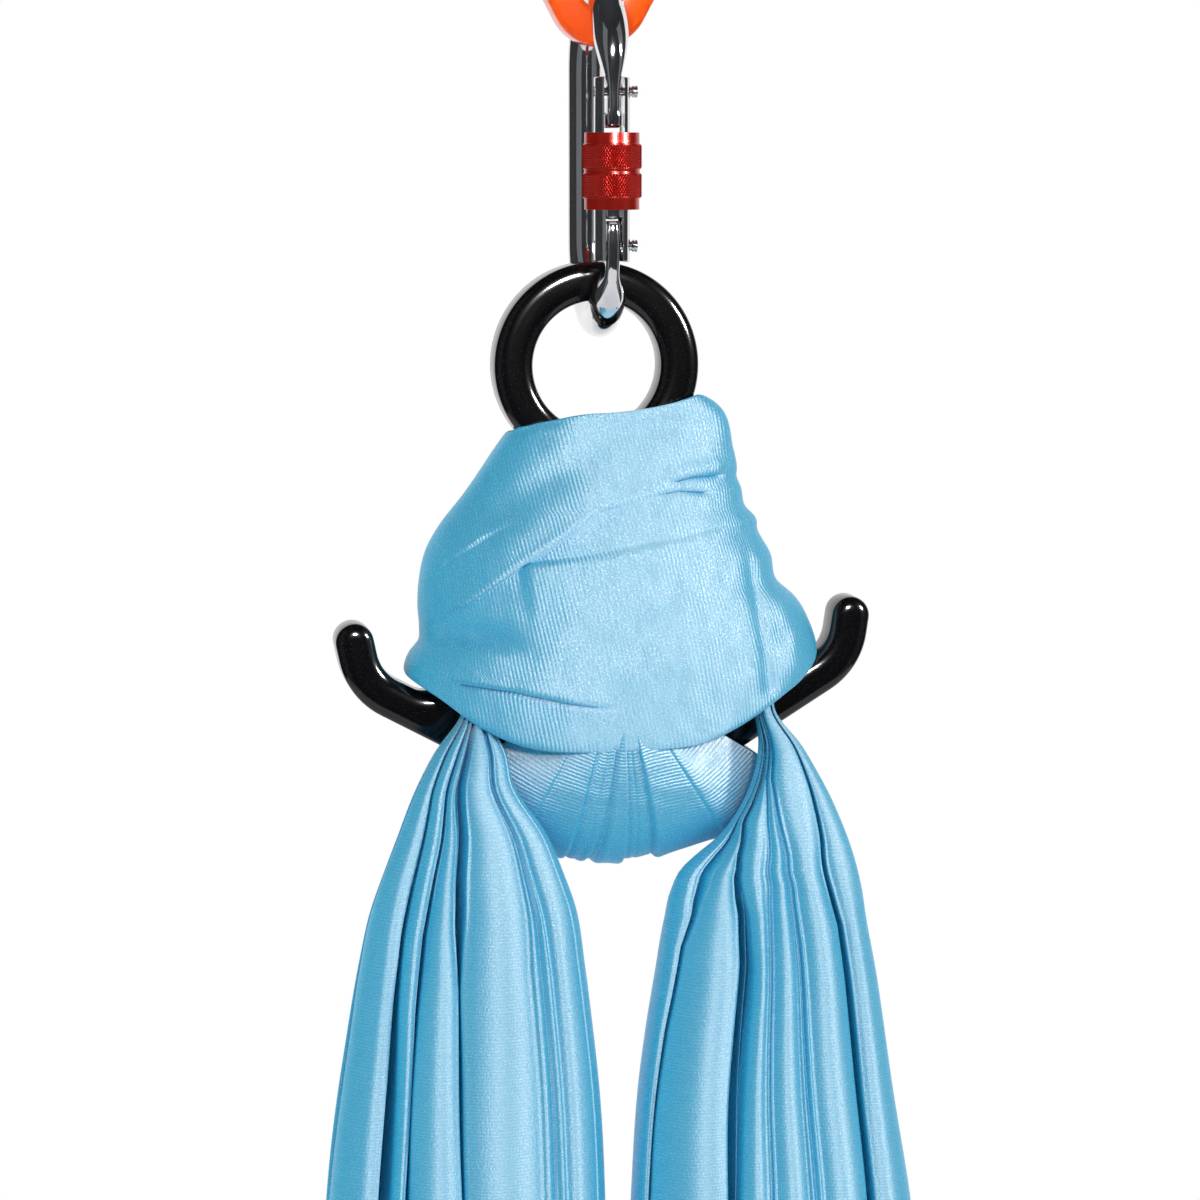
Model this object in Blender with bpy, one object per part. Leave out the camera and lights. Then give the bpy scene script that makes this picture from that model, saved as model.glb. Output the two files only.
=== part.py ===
"""Aerial yoga hammock: swivel, locking carabiner, horned rescue eight and gathered cloth.

The frame is metres, +Z up, with -Y as the front. The origin is where the bar of a ceiling hanger
lies in the top of the swivel's upper eye. Everything else hangs below it, each piece in the last.
"""

import math

import bmesh
import bpy
import numpy as np
from mathutils import Matrix, Vector

# Clearances
SEAT_GAP = 0.0003        # between pieces that rest on each other
FIT_GAP = 0.0003         # round a shaft or pin in its bore
CUT_PAST = 0.002         # how far a cutter runs past the face that it opens
ARC_STEP = 15.0          # degrees between the points of an arc
TURN_STEPS = 28          # sides of a large turned piece
SMALL_TURN_STEPS = 20    # sides of a pin, a nut's bore or a small ring

# Swivel
EYE_THICK = 0.0110       # front to back
EYE_EDGE = 0.0016        # rounding of its edges
EYE_TIP_R = 0.0140
EYE_BAND_TIP = 0.0108    # metal between the window and the tip
EYE_BAND_SIDE = 0.0095   # metal beside the window
WINDOW_TIP_R = 0.0065    # seat for a bar
WINDOW_R = 0.0125        # wide end of the window
WINDOW_RUN = 0.0137      # from the seat's centre to the wide end's centre
BOSS_R = 0.0125
BOSS_EDGE = 0.0010
BOSS_LENGTH = 0.0180
BOSS_RISE = 0.0022       # how far the boss stands up into the window
WASHER_THICK = 0.0010
WASHER_R = 0.0110
AXLE_R = 0.0047
BUSH_WALL = 0.0014
BUSH_LENGTH = 0.0110
RACE_THICK = 0.0020
RACE_R = 0.0100
RACE_SINK = 0.0018       # depth of the seat that the lower race lies in, below the window
BALL_R = 0.0016
BALL_COUNT = 8
BALL_RING_R = 0.0076
CAGE_THICK = 0.0010
CAGE_WALL = 0.0004       # of the cage past its ball holes
NUT_R = 0.0086           # to its corners
NUT_HEIGHT = 0.0060
NUT_EDGE = 0.0006
HEAD_R = 0.0075
HEAD_HEIGHT = 0.0055
HEAD_SINK = 0.0020
SOCKET_R = 0.0034        # hexagon socket, to its corners
SOCKET_DEPTH = 0.0028
AXLE_END = 0.0028        # of the axle past the nut
COTTER_R = 0.0007
COTTER_LENGTH = 0.0150

# Carabiner
CLIP_LENGTH = 0.104
CLIP_WIDTH = 0.056
BAR_R = 0.0050
BAR_SIDES = 16
BEND_STEPS = 12
LATCH_DROP = 0.0345      # latch pin below the carabiner's top
HINGE_RISE = 0.0267      # hinge pin above its foot
NOSE_REACH = 0.0101      # of the nose past the latch pin
HOOK_HEIGHT = 0.0043     # of the hook at the nose's end
HOOK_HALF = 0.0024       # half its width
HOOK_EDGE = 0.0005
NOSE_ROUND = 4.0         # power of its section's outline, and of the round bar's
BAR_ROUND = 2.0
NOSE_HALF = 0.0018       # half the tongue's width above the hook
NOSE_DEPTH = 0.0039      # half its depth, front to back
NOSE_SHOULDER = 0.0040   # from the latch pin up to where the nose widens
TONGUE_HALF = 0.0021
TONGUE_DEPTH = 0.0034
TONGUE_TOP = 0.0070      # of the hinge tongue above its pin
TONGUE_TIP_DEPTH = 0.0025
TONGUE_FOOT = 20.0       # degrees of the lower bend that stay narrow
FOOT_SPREAD = 50.0       # degrees in which the bar reaches its full size
GATE_R = 0.0051
GATE_BORE_R = 0.0032
GATE_ABOVE = 0.0041      # of the gate above the latch pin
GATE_BELOW = 0.0044      # of the gate below the hinge pin
GATE_EDGE = 0.0004
NOSE_SLOT = 0.0058
NOSE_SLOT_SPARE = 0.0033
GATE_PLUG = 0.0045       # solid metal between the nose's slot and the spring's bore
TONGUE_SLOT = 0.0050
TONGUE_SLOT_SPARE = 0.0012
PIN_R = 0.0012
PIN_FLARE_R = 0.0017
PIN_STAND = 0.0020       # of the pin's flared end past the gate
NOTCH_SPARE = 0.0003     # more room round the latch pin in the nose's notch
PLUNGER_LENGTH = 0.0050
PLUNGER_DOME = 0.0010
SPRING_R = 0.0023        # to the middle of its wire
SPRING_WIRE_R = 0.0004
SPRING_PITCH = 0.0016
SPRING_POINTS = 9        # for each curl

# Lock sleeve
SLEEVE_SHIFT = 0.0006    # of its middle, down from the middle between the two pins
SLEEVE_LENGTH = 0.0214
SLEEVE_R = 0.0084
COLLAR_R = 0.0077
COLLAR_HEIGHT = 0.0031
SLEEVE_EDGE = 0.0006
SLEEVE_GROOVE = 0.0009
SLEEVE_GROOVE_DEPTH = 0.0006
SLEEVE_BORE_SPARE = 0.0004
FRICTION_RING_THICK = 0.0012
FRICTION_RING_WALL = 0.0009
FRICTION_RING_DROP = 0.0160  # from the sleeve's top

# Rescue eight
EIGHT_THICK = 0.0140
EIGHT_EDGE = 0.0040
EIGHT_BAND = 0.0110
SMALL_R = 0.0296
LARGE_R = 0.0440
RING_SPACING = 0.0850
NECK_HALF = 0.00904      # half the neck where it is narrowest
HORN_RISE = 30.0         # degrees above level
HORN_RUN = 0.0510        # straight stretch, from where it leaves the large ring
HORN_BEND_R = 0.0175
HORN_LEAN = 10.0         # degrees outward at the tip
HORN_TIP_RUN = 0.0046
HORN_FILLET = 0.0080
EIGHT_SHIFT = -0.0012    # sideways from the carabiner's middle
EIGHT_TILT = -1.9        # degrees, right horn high

# Cloth, with places across and heights measured down from the small ring's centre
CLOTH_GAP = 0.0006
CLOTH_ROUND = 2.4        # roundness of its cross-sections: 2 is an ellipse
CLOTH_SHARP = 70         # degrees between faces from which its edges are drawn sharp
WRAP_WALL = 0.0012
WRAP_COLUMNS = 44
WRAP_ROWS = 17
WRAP_TOP = 0.0125
WRAP_TOP_SLOPE = 0.17    # of its top edge, right side high
# Height, then how far the wrap reaches left, right, and front or back
WRAP_FORM = (
    (0.006, 0.0285, 0.0318, 0.0106),
    (0.017, 0.0262, 0.0378, 0.0112),
    (0.026, 0.0297, 0.0401, 0.0138),
    (0.037, 0.0373, 0.0424, 0.0180),
    (0.047, 0.0450, 0.0468, 0.0218),
    (0.055, 0.0490, 0.0507, 0.0246),
    (0.063, 0.0508, 0.0530, 0.0268),
    (0.075, 0.0506, 0.0621, 0.0290),
    (0.086, 0.0530, 0.0648, 0.0300),
    (0.108, 0.0560, 0.0600, 0.0290),
)
# Place across as a share of the reach, -1 left to 1 right, then the hem's height
WRAP_HEM = (
    (-1.00, 0.0880),
    (-0.75, 0.0947),
    (-0.36, 0.1065),
    (0.00, 0.1078),
    (0.34, 0.1072),
    (0.73, 0.0970),
    (0.90, 0.0880),
    (1.00, 0.0800),
)
HEM_BACK = 0.70          # the back hangs down by this share of the front
# Each main fold of the wrap: left and right end as place across and height, then how far it
# stands out
WRAP_FOLDS = (
    (-0.050, 0.079, 0.010, 0.036, 0.0026),
    (0.010, 0.036, 0.040, 0.031, 0.0022),
    (-0.046, 0.070, -0.020, 0.046, 0.0020),
    (-0.028, 0.062, 0.048, 0.048, -0.0022),
    (-0.055, 0.088, 0.004, 0.099, -0.0024),
)
WRAP_FOLD_WIDTH = 0.0060

# Degrees round the large ring from its foot, right side positive, then how far the belly stands
# below the ring's edge, above its band, and half its depth
BELLY_FORM = (
    (-57, 0.0088, 0.0045, 0.0100),
    (-45, 0.0108, 0.0070, 0.0125),
    (-30, 0.0125, 0.0090, 0.0150),
    (0, 0.0132, 0.0100, 0.0165),
    (20, 0.0145, 0.0100, 0.0165),
    (33, 0.0178, 0.0090, 0.0160),
    (45, 0.0150, 0.0070, 0.0140),
    (55, 0.0112, 0.0050, 0.0105),
)
BELLY_COLUMNS = 18
BELLY_LINING_COLUMNS = 11
BELLY_SIDES = 20
BELLY_PLEATS = (-22, -9, 3, 12, 26)
BELLY_PLEAT_WIDTH = 2.5
BELLY_PLEAT_DEPTH = 0.0012

TAIL_FOOT = 0.9000       # height at which the tails pass into the sling
# Height, outer edge, inner edge, back, front
LEFT_TAIL = (
    (0.0920, -0.0395, -0.0335, -0.0105, -0.0190),
    (0.0990, -0.0400, -0.0335, -0.0110, -0.0210),
    (0.1085, -0.0468, -0.0290, -0.0135, -0.0280),
    (0.1168, -0.0514, -0.0275, -0.0170, -0.0320),
    (0.1317, -0.0576, -0.0175, -0.0180, -0.0350),
    (0.1430, -0.0620, -0.0125, -0.0170, -0.0360),
    (0.1524, -0.0655, -0.0085, -0.0110, -0.0365),
    (0.1700, -0.0703, -0.0050, -0.0040, -0.0360),
    (0.1950, -0.0751, -0.0020, 0.0010, -0.0350),
    (0.2440, -0.0812, 0.0012, 0.0080, -0.0330),
    (0.45 * TAIL_FOOT, -0.0840, -0.0005, 0.0180, -0.0290),
    (0.72 * TAIL_FOOT, -0.0840, -0.0010, 0.0240, -0.0260),
    (TAIL_FOOT, -0.0840, -0.0010, 0.0260, -0.0260),
)
RIGHT_TAIL = (
    (0.0920, 0.0500, 0.0440, -0.0105, -0.0190),
    (0.0990, 0.0500, 0.0443, -0.0110, -0.0210),
    (0.1085, 0.0570, 0.0448, -0.0135, -0.0280),
    (0.1264, 0.0670, 0.0410, -0.0175, -0.0330),
    (0.1390, 0.0720, 0.0335, -0.0175, -0.0355),
    (0.1478, 0.0745, 0.0225, -0.0150, -0.0365),
    (0.1590, 0.0766, 0.0187, -0.0080, -0.0365),
    (0.1850, 0.0817, 0.0138, -0.0005, -0.0355),
    (0.2068, 0.0852, 0.0110, 0.0030, -0.0345),
    (0.2480, 0.0927, 0.0088, 0.0080, -0.0330),
    (0.45 * TAIL_FOOT, 0.0920, 0.0070, 0.0180, -0.0290),
    (0.72 * TAIL_FOOT, 0.0900, 0.0062, 0.0240, -0.0260),
    (TAIL_FOOT, 0.0890, 0.0060, 0.0260, -0.0260),
)
# Place across the tail, 0 at its outer edge and 1 at its inner edge, then how deep
LEFT_FOLDS = ((0.19, 0.0060), (0.48, 0.0025), (0.80, 0.0040))
RIGHT_FOLDS = ((0.17, 0.0055), (0.42, 0.0025), (0.67, 0.0060))
BACK_FOLDS = ((0.24, 0.0050), (0.50, 0.0055), (0.74, 0.0050))
FOLD_WIDTH = 0.034       # as a share of the tail's width
FOLD_START = 0.030       # length in which the folds reach their depth
TAIL_ROWS = 27
TAIL_ROW_GROWTH = 1.11   # of each row over the one above it
FOLD_COLUMNS = 4         # between one fold and the next
BACK_COLUMNS = 3

SLING_MIDDLE = 0.0025    # place across of the loop's middle
SLING_DROP = 0.6500      # from the tails' foot to the cloth's middle at the bottom of the loop
# Place across of the cloth's middle, share of the drop, half its thickness, half its spread front to back
SLING_FORM = (
    (-0.0425, 0.000, 0.0415, 0.0260),
    (-0.0425, 0.046, 0.0414, 0.0265),
    (-0.0430, 0.169, 0.0405, 0.0310),
    (-0.0480, 0.338, 0.0360, 0.0450),
    (-0.0640, 0.523, 0.0255, 0.0800),
    (-0.0850, 0.708, 0.0155, 0.1180),
    (-0.0860, 0.846, 0.0105, 0.1350),
    (-0.0580, 0.962, 0.0085, 0.1430),
    (0.0025, 1.000, 0.0080, 0.1450),
)
SLING_ROWS = 28

# Places that follow from the sizes
SWIVEL_MIDDLE_Z = -(WINDOW_RUN + WINDOW_R - BOSS_RISE + BOSS_LENGTH + WASHER_THICK / 2 + SEAT_GAP)
BOSS_TOP_Z = -(WINDOW_RUN + WINDOW_R - BOSS_RISE)
BOSS_FOOT_Z = BOSS_TOP_Z - BOSS_LENGTH
CLIP_HALF = CLIP_WIDTH / 2 - BAR_R
GATE_Y = -CLIP_HALF


def seat_rise(bend_r, thick, edge):
    """How far a plate with rounded edges stands off the inside of a bend that it sits in."""
    most = 0.0
    for step in range(41):
        y = thick / 2 * step / 40
        past = max(0.0, y - (thick / 2 - edge))
        bend = bend_r - math.sqrt(bend_r ** 2 - y ** 2)
        corner = edge - math.sqrt(max(0.0, edge ** 2 - past ** 2))
        most = max(most, bend - corner)
    return most


EYE_RISE = seat_rise(CLIP_HALF - BAR_R, EYE_THICK, EYE_EDGE)
EIGHT_RISE = seat_rise(CLIP_HALF - BAR_R, EIGHT_THICK, EIGHT_EDGE)
LOWER_SEAT_Z = 2 * SWIVEL_MIDDLE_Z - WINDOW_TIP_R
CLIP_TOP_Z = LOWER_SEAT_Z + EYE_RISE + SEAT_GAP + 2 * BAR_R
TOP_BEND_Z = CLIP_TOP_Z - BAR_R - CLIP_HALF
LOW_BAR_Z = CLIP_TOP_Z - CLIP_LENGTH + BAR_R
LOW_BEND_Z = LOW_BAR_Z + CLIP_HALF
LATCH_Z = CLIP_TOP_Z - LATCH_DROP
HINGE_Z = CLIP_TOP_Z - CLIP_LENGTH + HINGE_RISE
NOSE_END_Z = LATCH_Z - NOSE_REACH
TONGUE_TOP_Z = HINGE_Z + TONGUE_TOP
SLEEVE_TOP_Z = (LATCH_Z + HINGE_Z) / 2 - SLEEVE_SHIFT + SLEEVE_LENGTH / 2
SMALL_HOLE_R = SMALL_R - EIGHT_BAND
HOLE_DIP = SMALL_HOLE_R - math.sqrt(SMALL_HOLE_R ** 2 - (1.5 * EIGHT_SHIFT) ** 2)
EIGHT_Z = LOW_BAR_Z + BAR_R + EIGHT_RISE + SEAT_GAP + HOLE_DIP - SMALL_HOLE_R
EIGHT_CENTRE = Vector((EIGHT_SHIFT, 0.0, EIGHT_Z))


def clear_scene():
    for item in list(bpy.data.objects):
        bpy.data.objects.remove(item, do_unlink=True)


def make_material(name, colour, roughness, metallic):
    material = bpy.data.materials.new(name)
    material.use_nodes = True
    shader = material.node_tree.nodes["Principled BSDF"]
    shader.inputs["Base Color"].default_value = (*colour, 1.0)
    shader.inputs["Roughness"].default_value = roughness
    shader.inputs["Metallic"].default_value = metallic
    return material


def make_pivot(name, place, parent=None):
    """An empty on a joint's axis, which carries the pieces that turn on it."""
    pivot = bpy.data.objects.new(name, None)
    bpy.context.collection.objects.link(pivot)
    pivot.parent = parent
    pivot["place"] = place
    pivot.location = Vector(place) - (Vector(parent["place"]) if parent else Vector())
    return pivot


def add_object(name, mesh_data, pivot, centre=None):
    """Links a mesh that is drawn at its place in the whole part, with its origin at centre."""
    centre = Vector(centre if centre is not None else pivot["place"])
    mesh_data.transform(Matrix.Translation(-centre))
    item = bpy.data.objects.new(name, mesh_data)
    bpy.context.collection.objects.link(item)
    item.parent = pivot
    item.location = centre - Vector(pivot["place"])
    return item


def add_part(name, mesh_data, material, pivot, centre=None, sharp=35):
    mesh_data.materials.append(material)
    mesh_data.shade_smooth()
    mesh_data.set_sharp_from_angle(angle=math.radians(sharp))
    return add_object(name, mesh_data, pivot, centre)


def boolean(item, cutter, pivot, operation="DIFFERENCE"):
    """Cuts item with a mesh, or joins the mesh to it, and leaves the modifier live."""
    cutter.shade_smooth()
    cutter.set_sharp_from_angle(angle=math.radians(35))
    tool = add_object(item.name + "_cutter", cutter, pivot)
    tool.hide_render = True
    tool.display_type = "WIRE"
    modifier = item.modifiers.new("shape", "BOOLEAN")
    modifier.operation = operation
    modifier.solver = "EXACT"
    modifier.object = tool


def mesh_from_rings(name, rings, closed=False):
    """Skins a row of point rings of one count. Open rows get flat ends."""
    work = bmesh.new()
    loops = [[work.verts.new(point) for point in ring] for ring in rings]
    pairs = list(zip(loops, loops[1:]))
    if closed:
        pairs.append((loops[-1], loops[0]))
    for first, second in pairs:
        count = len(first)
        for i in range(count):
            j = (i + 1) % count
            work.faces.new((first[i], first[j], second[j], second[i]))
    if not closed:
        work.faces.new(loops[0])
        work.faces.new(loops[-1])
    bmesh.ops.recalc_face_normals(work, faces=work.faces)
    mesh = bpy.data.meshes.new(name)
    work.to_mesh(mesh)
    work.free()
    return mesh


def turned(name, profile, axis="Z", place=(0.0, 0.0, 0.0), steps=TURN_STEPS):
    """Turns a closed profile of (radius, height) points about an axis through place."""
    rings = []
    for step in range(steps):
        angle = 2 * math.pi * step / steps
        c, s = math.cos(angle), math.sin(angle)
        if axis == "Z":
            rings.append([Vector(place) + Vector((r * c, r * s, h)) for r, h in profile])
        else:
            rings.append([Vector(place) + Vector((h, r * c, r * s)) for r, h in profile])
    return mesh_from_rings(name, rings, closed=True)


def rod(name, profile, axis="Z", place=(0.0, 0.0, 0.0), steps=TURN_STEPS, start=0.0):
    """A solid turned piece from (radius, height) points, bottom to top."""
    rings = []
    for radius, height in profile:
        ring = []
        for step in range(steps):
            angle = start + 2 * math.pi * step / steps
            c, s = radius * math.cos(angle), radius * math.sin(angle)
            offset = (c, s, height) if axis == "Z" else (height, c, s)
            ring.append(Vector(place) + Vector(offset))
        rings.append(ring)
    return mesh_from_rings(name, rings)


def plain_rod(name, radius, low, high, axis="Z", place=(0.0, 0.0, 0.0), steps=TURN_STEPS, start=0.0):
    return rod(name, ((radius, low), (radius, high)), axis, place, steps, start)


def block(name, low, high):
    """A plain box between two corners."""
    rings = []
    for z in (low[2], high[2]):
        rings.append([
            Vector((low[0], low[1], z)),
            Vector((high[0], low[1], z)),
            Vector((high[0], high[1], z)),
            Vector((low[0], high[1], z)),
        ])
    return mesh_from_rings(name, rings)


def arc(centre, radius, start, end):
    """Points of an arc in the plane, from start to end in degrees, either way round."""
    steps = max(1, math.ceil(abs(end - start) / ARC_STEP))
    points = []
    for step in range(steps + 1):
        angle = math.radians(start + (end - start) * step / steps)
        points.append((centre[0] + radius * math.cos(angle), centre[1] + radius * math.sin(angle)))
    return points


def without_doubles(points):
    kept = []
    for point in points:
        if not kept or math.dist(point, kept[-1]) > 1e-6:
            kept.append(point)
    if math.dist(kept[0], kept[-1]) < 1e-6:
        kept.pop()
    return kept


def plate(name, outline, thick, edge, centre=(0.0, 0.0), steps=2):
    """A plate in the XZ plane with rounded edges. outline(grow) gives its points grown by grow."""
    slices = []
    for step in range(steps + 1):
        angle = math.pi / 2 * step / steps
        slices.append((thick / 2 - edge * (1 - math.cos(angle)), edge * (math.sin(angle) - 1)))
    half = [(-y, grow) for y, grow in slices] + [(y, grow) for y, grow in reversed(slices)]
    if abs(thick / 2 - edge) < 1e-9:
        half.pop(steps)
    rings = []
    for y, grow in half:
        rings.append([Vector((x + centre[0], y, z + centre[1])) for x, z in outline(grow)])
    return mesh_from_rings(name, rings)


def window(name, outline, thick, edge, centre=(0.0, 0.0), steps=2):
    """A cutter for a window through a plate, which leaves the window's edges rounded."""
    slices = [(thick / 2 + CUT_PAST, edge)]
    for step in range(steps + 1):
        angle = math.pi / 2 * step / steps
        slices.append((thick / 2 - edge * math.sin(angle), edge * (1 - math.sin(angle)) ** 1.5))
    half = [(-y, grow) for y, grow in slices] + [(y, grow) for y, grow in reversed(slices)]
    rings = []
    for y, grow in half:
        rings.append([Vector((x + centre[0], y, z + centre[1])) for x, z in outline(grow)])
    return mesh_from_rings(name, rings)


def pear(tip_z, tip_r, wide_z, wide_r, grow, flip=1):
    """Outline round two circles and the straight sides that touch both."""
    rise = math.degrees(math.asin((wide_r - tip_r) / abs(tip_z - wide_z)))
    points = arc((0, tip_z), tip_r + grow, rise, 180 - rise)
    points += arc((0, wide_z), wide_r + grow, 180 - rise, 360 + rise)
    return without_doubles([(x, flip * z) for x, z in points])


def swivel_eye(name, material, pivot, flip, centre_z):
    """One eye of the swivel: a pear-shaped loop with a round boss. flip is -1 for the lower one."""
    def outer(grow):
        tip_z = WINDOW_TIP_R + EYE_BAND_TIP - EYE_TIP_R
        return pear(tip_z, EYE_TIP_R, -WINDOW_RUN, WINDOW_R + EYE_BAND_SIDE, grow, flip)

    def inner(grow):
        return pear(0.0, WINDOW_TIP_R, -WINDOW_RUN, WINDOW_R, grow, flip)

    centre = (0.0, centre_z)
    item = add_part(name, plate(name, outer, EYE_THICK, EYE_EDGE, centre), material, pivot)
    boss = (
        (BOSS_R - BOSS_EDGE, flip * BOSS_FOOT_Z),
        (BOSS_R, flip * (BOSS_FOOT_Z + BOSS_EDGE)),
        (BOSS_R, flip * (BOSS_TOP_Z - BOSS_EDGE)),
        (BOSS_R - BOSS_EDGE, flip * BOSS_TOP_Z),
    )
    boolean(item, rod("boss", boss, place=(0, 0, centre_z)), pivot, "UNION")
    # The window keeps clear of the boss, whose end stands up into it
    boolean(item, window("window", inner, EYE_THICK, EYE_EDGE, centre), pivot)
    boolean(item, rod("boss_again", boss, place=(0, 0, centre_z)), pivot, "UNION")
    return item


def swivel(orange, steel, nylon, bronze, root, spinner, cage_pivot):
    upper = swivel_eye("swivel_upper_eye", orange, root, 1, 0.0)
    bush_r = AXLE_R + FIT_GAP + BUSH_WALL
    boss_past = (BOSS_FOOT_Z - CUT_PAST, BOSS_TOP_Z + CUT_PAST)
    boolean(upper, plain_rod("bore", bush_r + FIT_GAP, *boss_past), root)
    race_seat_z = -(WINDOW_RUN + WINDOW_R) - RACE_SINK
    low_race_z = race_seat_z + SEAT_GAP
    ball_z = low_race_z + RACE_THICK + SEAT_GAP + BALL_R
    high_race_z = ball_z + BALL_R + SEAT_GAP
    nut_z = high_race_z + RACE_THICK + SEAT_GAP
    boolean(upper, plain_rod("seat", RACE_R + FIT_GAP, race_seat_z, nut_z), root)

    lower_z = 2 * SWIVEL_MIDDLE_Z
    lower = swivel_eye("swivel_lower_eye", orange, spinner, -1, lower_z)
    lower_face_z = lower_z - BOSS_FOOT_Z
    lower_window_z = lower_z - BOSS_TOP_Z
    shank = plain_rod("shank_bore", AXLE_R + FIT_GAP, lower_window_z - CUT_PAST, lower_face_z + CUT_PAST)
    boolean(lower, shank, spinner)
    head_top_z = lower_window_z + HEAD_SINK
    recess = plain_rod("recess", HEAD_R + FIT_GAP, lower_window_z - CUT_PAST, head_top_z)
    boolean(lower, recess, spinner)

    washer_low = SWIVEL_MIDDLE_Z - WASHER_THICK / 2
    ring_part("swivel_washer", nylon, spinner, AXLE_R + FIT_GAP, WASHER_R, washer_low, WASHER_THICK)
    ring_part("axle_bush", bronze, root, AXLE_R + FIT_GAP, bush_r,
              race_seat_z - SEAT_GAP - BUSH_LENGTH, BUSH_LENGTH)

    # The thrust bearing, from its seat upward: race, balls in their cage, race, nut
    ring_part("bearing_race_lower", steel, root, bush_r + FIT_GAP, RACE_R, low_race_z, RACE_THICK)
    ring_part("bearing_race_upper", steel, spinner, AXLE_R + FIT_GAP, RACE_R, high_race_z, RACE_THICK)
    bearing(steel, bronze, cage_pivot, ball_z)
    nut = add_part("axle_nut", hexagon_nut(nut_z), steel, spinner)
    boolean(nut, plain_rod("nut_bore", AXLE_R + FIT_GAP, nut_z - CUT_PAST, nut_z + NUT_HEIGHT + CUT_PAST,
                           steps=SMALL_TURN_STEPS), spinner)

    axle_top = nut_z + NUT_HEIGHT + AXLE_END
    head_foot_z = head_top_z - SEAT_GAP - HEAD_HEIGHT
    profile = (
        (HEAD_R - BOSS_EDGE, head_foot_z),
        (HEAD_R, head_foot_z + BOSS_EDGE),
        (HEAD_R, head_top_z - SEAT_GAP),
        (AXLE_R, head_top_z - SEAT_GAP),
        (AXLE_R, axle_top - BOSS_EDGE),
        (AXLE_R - BOSS_EDGE, axle_top),
    )
    axle = add_part("swivel_axle", rod("swivel_axle", profile), steel, spinner)
    socket = plain_rod("socket", SOCKET_R, head_foot_z - CUT_PAST, head_foot_z + SOCKET_DEPTH, steps=6)
    boolean(axle, socket, spinner)
    cotter_z = axle_top - AXLE_END / 2
    hole = plain_rod("cotter_hole", COTTER_R + FIT_GAP, -AXLE_R - CUT_PAST, AXLE_R + CUT_PAST,
                     axis="X", place=(0, 0, cotter_z), steps=SMALL_TURN_STEPS)
    boolean(axle, hole, spinner)
    cotter = plain_rod("axle_cotter_pin", COTTER_R, -COTTER_LENGTH / 2, COTTER_LENGTH / 2,
                       axis="X", place=(0, 0, cotter_z), steps=10)
    add_part("axle_cotter_pin", cotter, steel, spinner)


def ring_part(name, material, pivot, inner_r, outer_r, low, height, steps=TURN_STEPS):
    """A plain ring about the swivel's axis."""
    profile = ((inner_r, low), (outer_r, low), (outer_r, low + height), (inner_r, low + height))
    return add_part(name, turned(name, profile, steps=steps), material, pivot)


def bearing(steel, bronze, pivot, ball_z):
    cage_in = BALL_RING_R - BALL_R - FIT_GAP - CAGE_WALL
    cage_out = BALL_RING_R + BALL_R + FIT_GAP + CAGE_WALL
    cage = ring_part("bearing_cage", bronze, pivot, cage_in, cage_out, ball_z - CAGE_THICK / 2, CAGE_THICK)
    for number in range(BALL_COUNT):
        angle = 2 * math.pi * number / BALL_COUNT
        place = (BALL_RING_R * math.cos(angle), BALL_RING_R * math.sin(angle), ball_z)
        # Turned a little, so that no corner of the hole falls on an edge of the ring
        hole = plain_rod("ball_hole", BALL_R + FIT_GAP, -CAGE_THICK, CAGE_THICK, place=place, steps=12,
                         start=angle + 0.1)
        boolean(cage, hole, pivot)
        work = bmesh.new()
        bmesh.ops.create_icosphere(work, subdivisions=2, radius=BALL_R,
                                   matrix=Matrix.Translation(place))
        mesh = bpy.data.meshes.new("ball")
        work.to_mesh(mesh)
        work.free()
        add_part("bearing_ball_%d" % (number + 1), mesh, steel, pivot, place)


def hexagon_nut(low):
    profile = (
        (NUT_R - NUT_EDGE, low),
        (NUT_R, low + NUT_EDGE),
        (NUT_R, low + NUT_HEIGHT - NUT_EDGE),
        (NUT_R - NUT_EDGE, low + NUT_HEIGHT),
    )
    return rod("axle_nut", profile, steps=6)


def bar_ring(centre, normal, half_x, half_n, roundness):
    """A cross-section of the carabiner's bar. centre and normal lie in the YZ plane."""
    ring = []
    for step in range(BAR_SIDES):
        angle = 2 * math.pi * step / BAR_SIDES
        c, s = math.cos(angle), math.sin(angle)
        across = half_x * math.copysign(abs(c) ** (2 / roundness), c)
        deep = half_n * math.copysign(abs(s) ** (2 / roundness), s)
        ring.append(Vector((across, centre[0] + normal[0] * deep, centre[1] + normal[1] * deep)))
    return ring


def mix(a, b, share):
    """From a to b with a smooth start and end."""
    share = min(1.0, max(0.0, share))
    return a + (b - a) * share * share * (3 - 2 * share)


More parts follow.
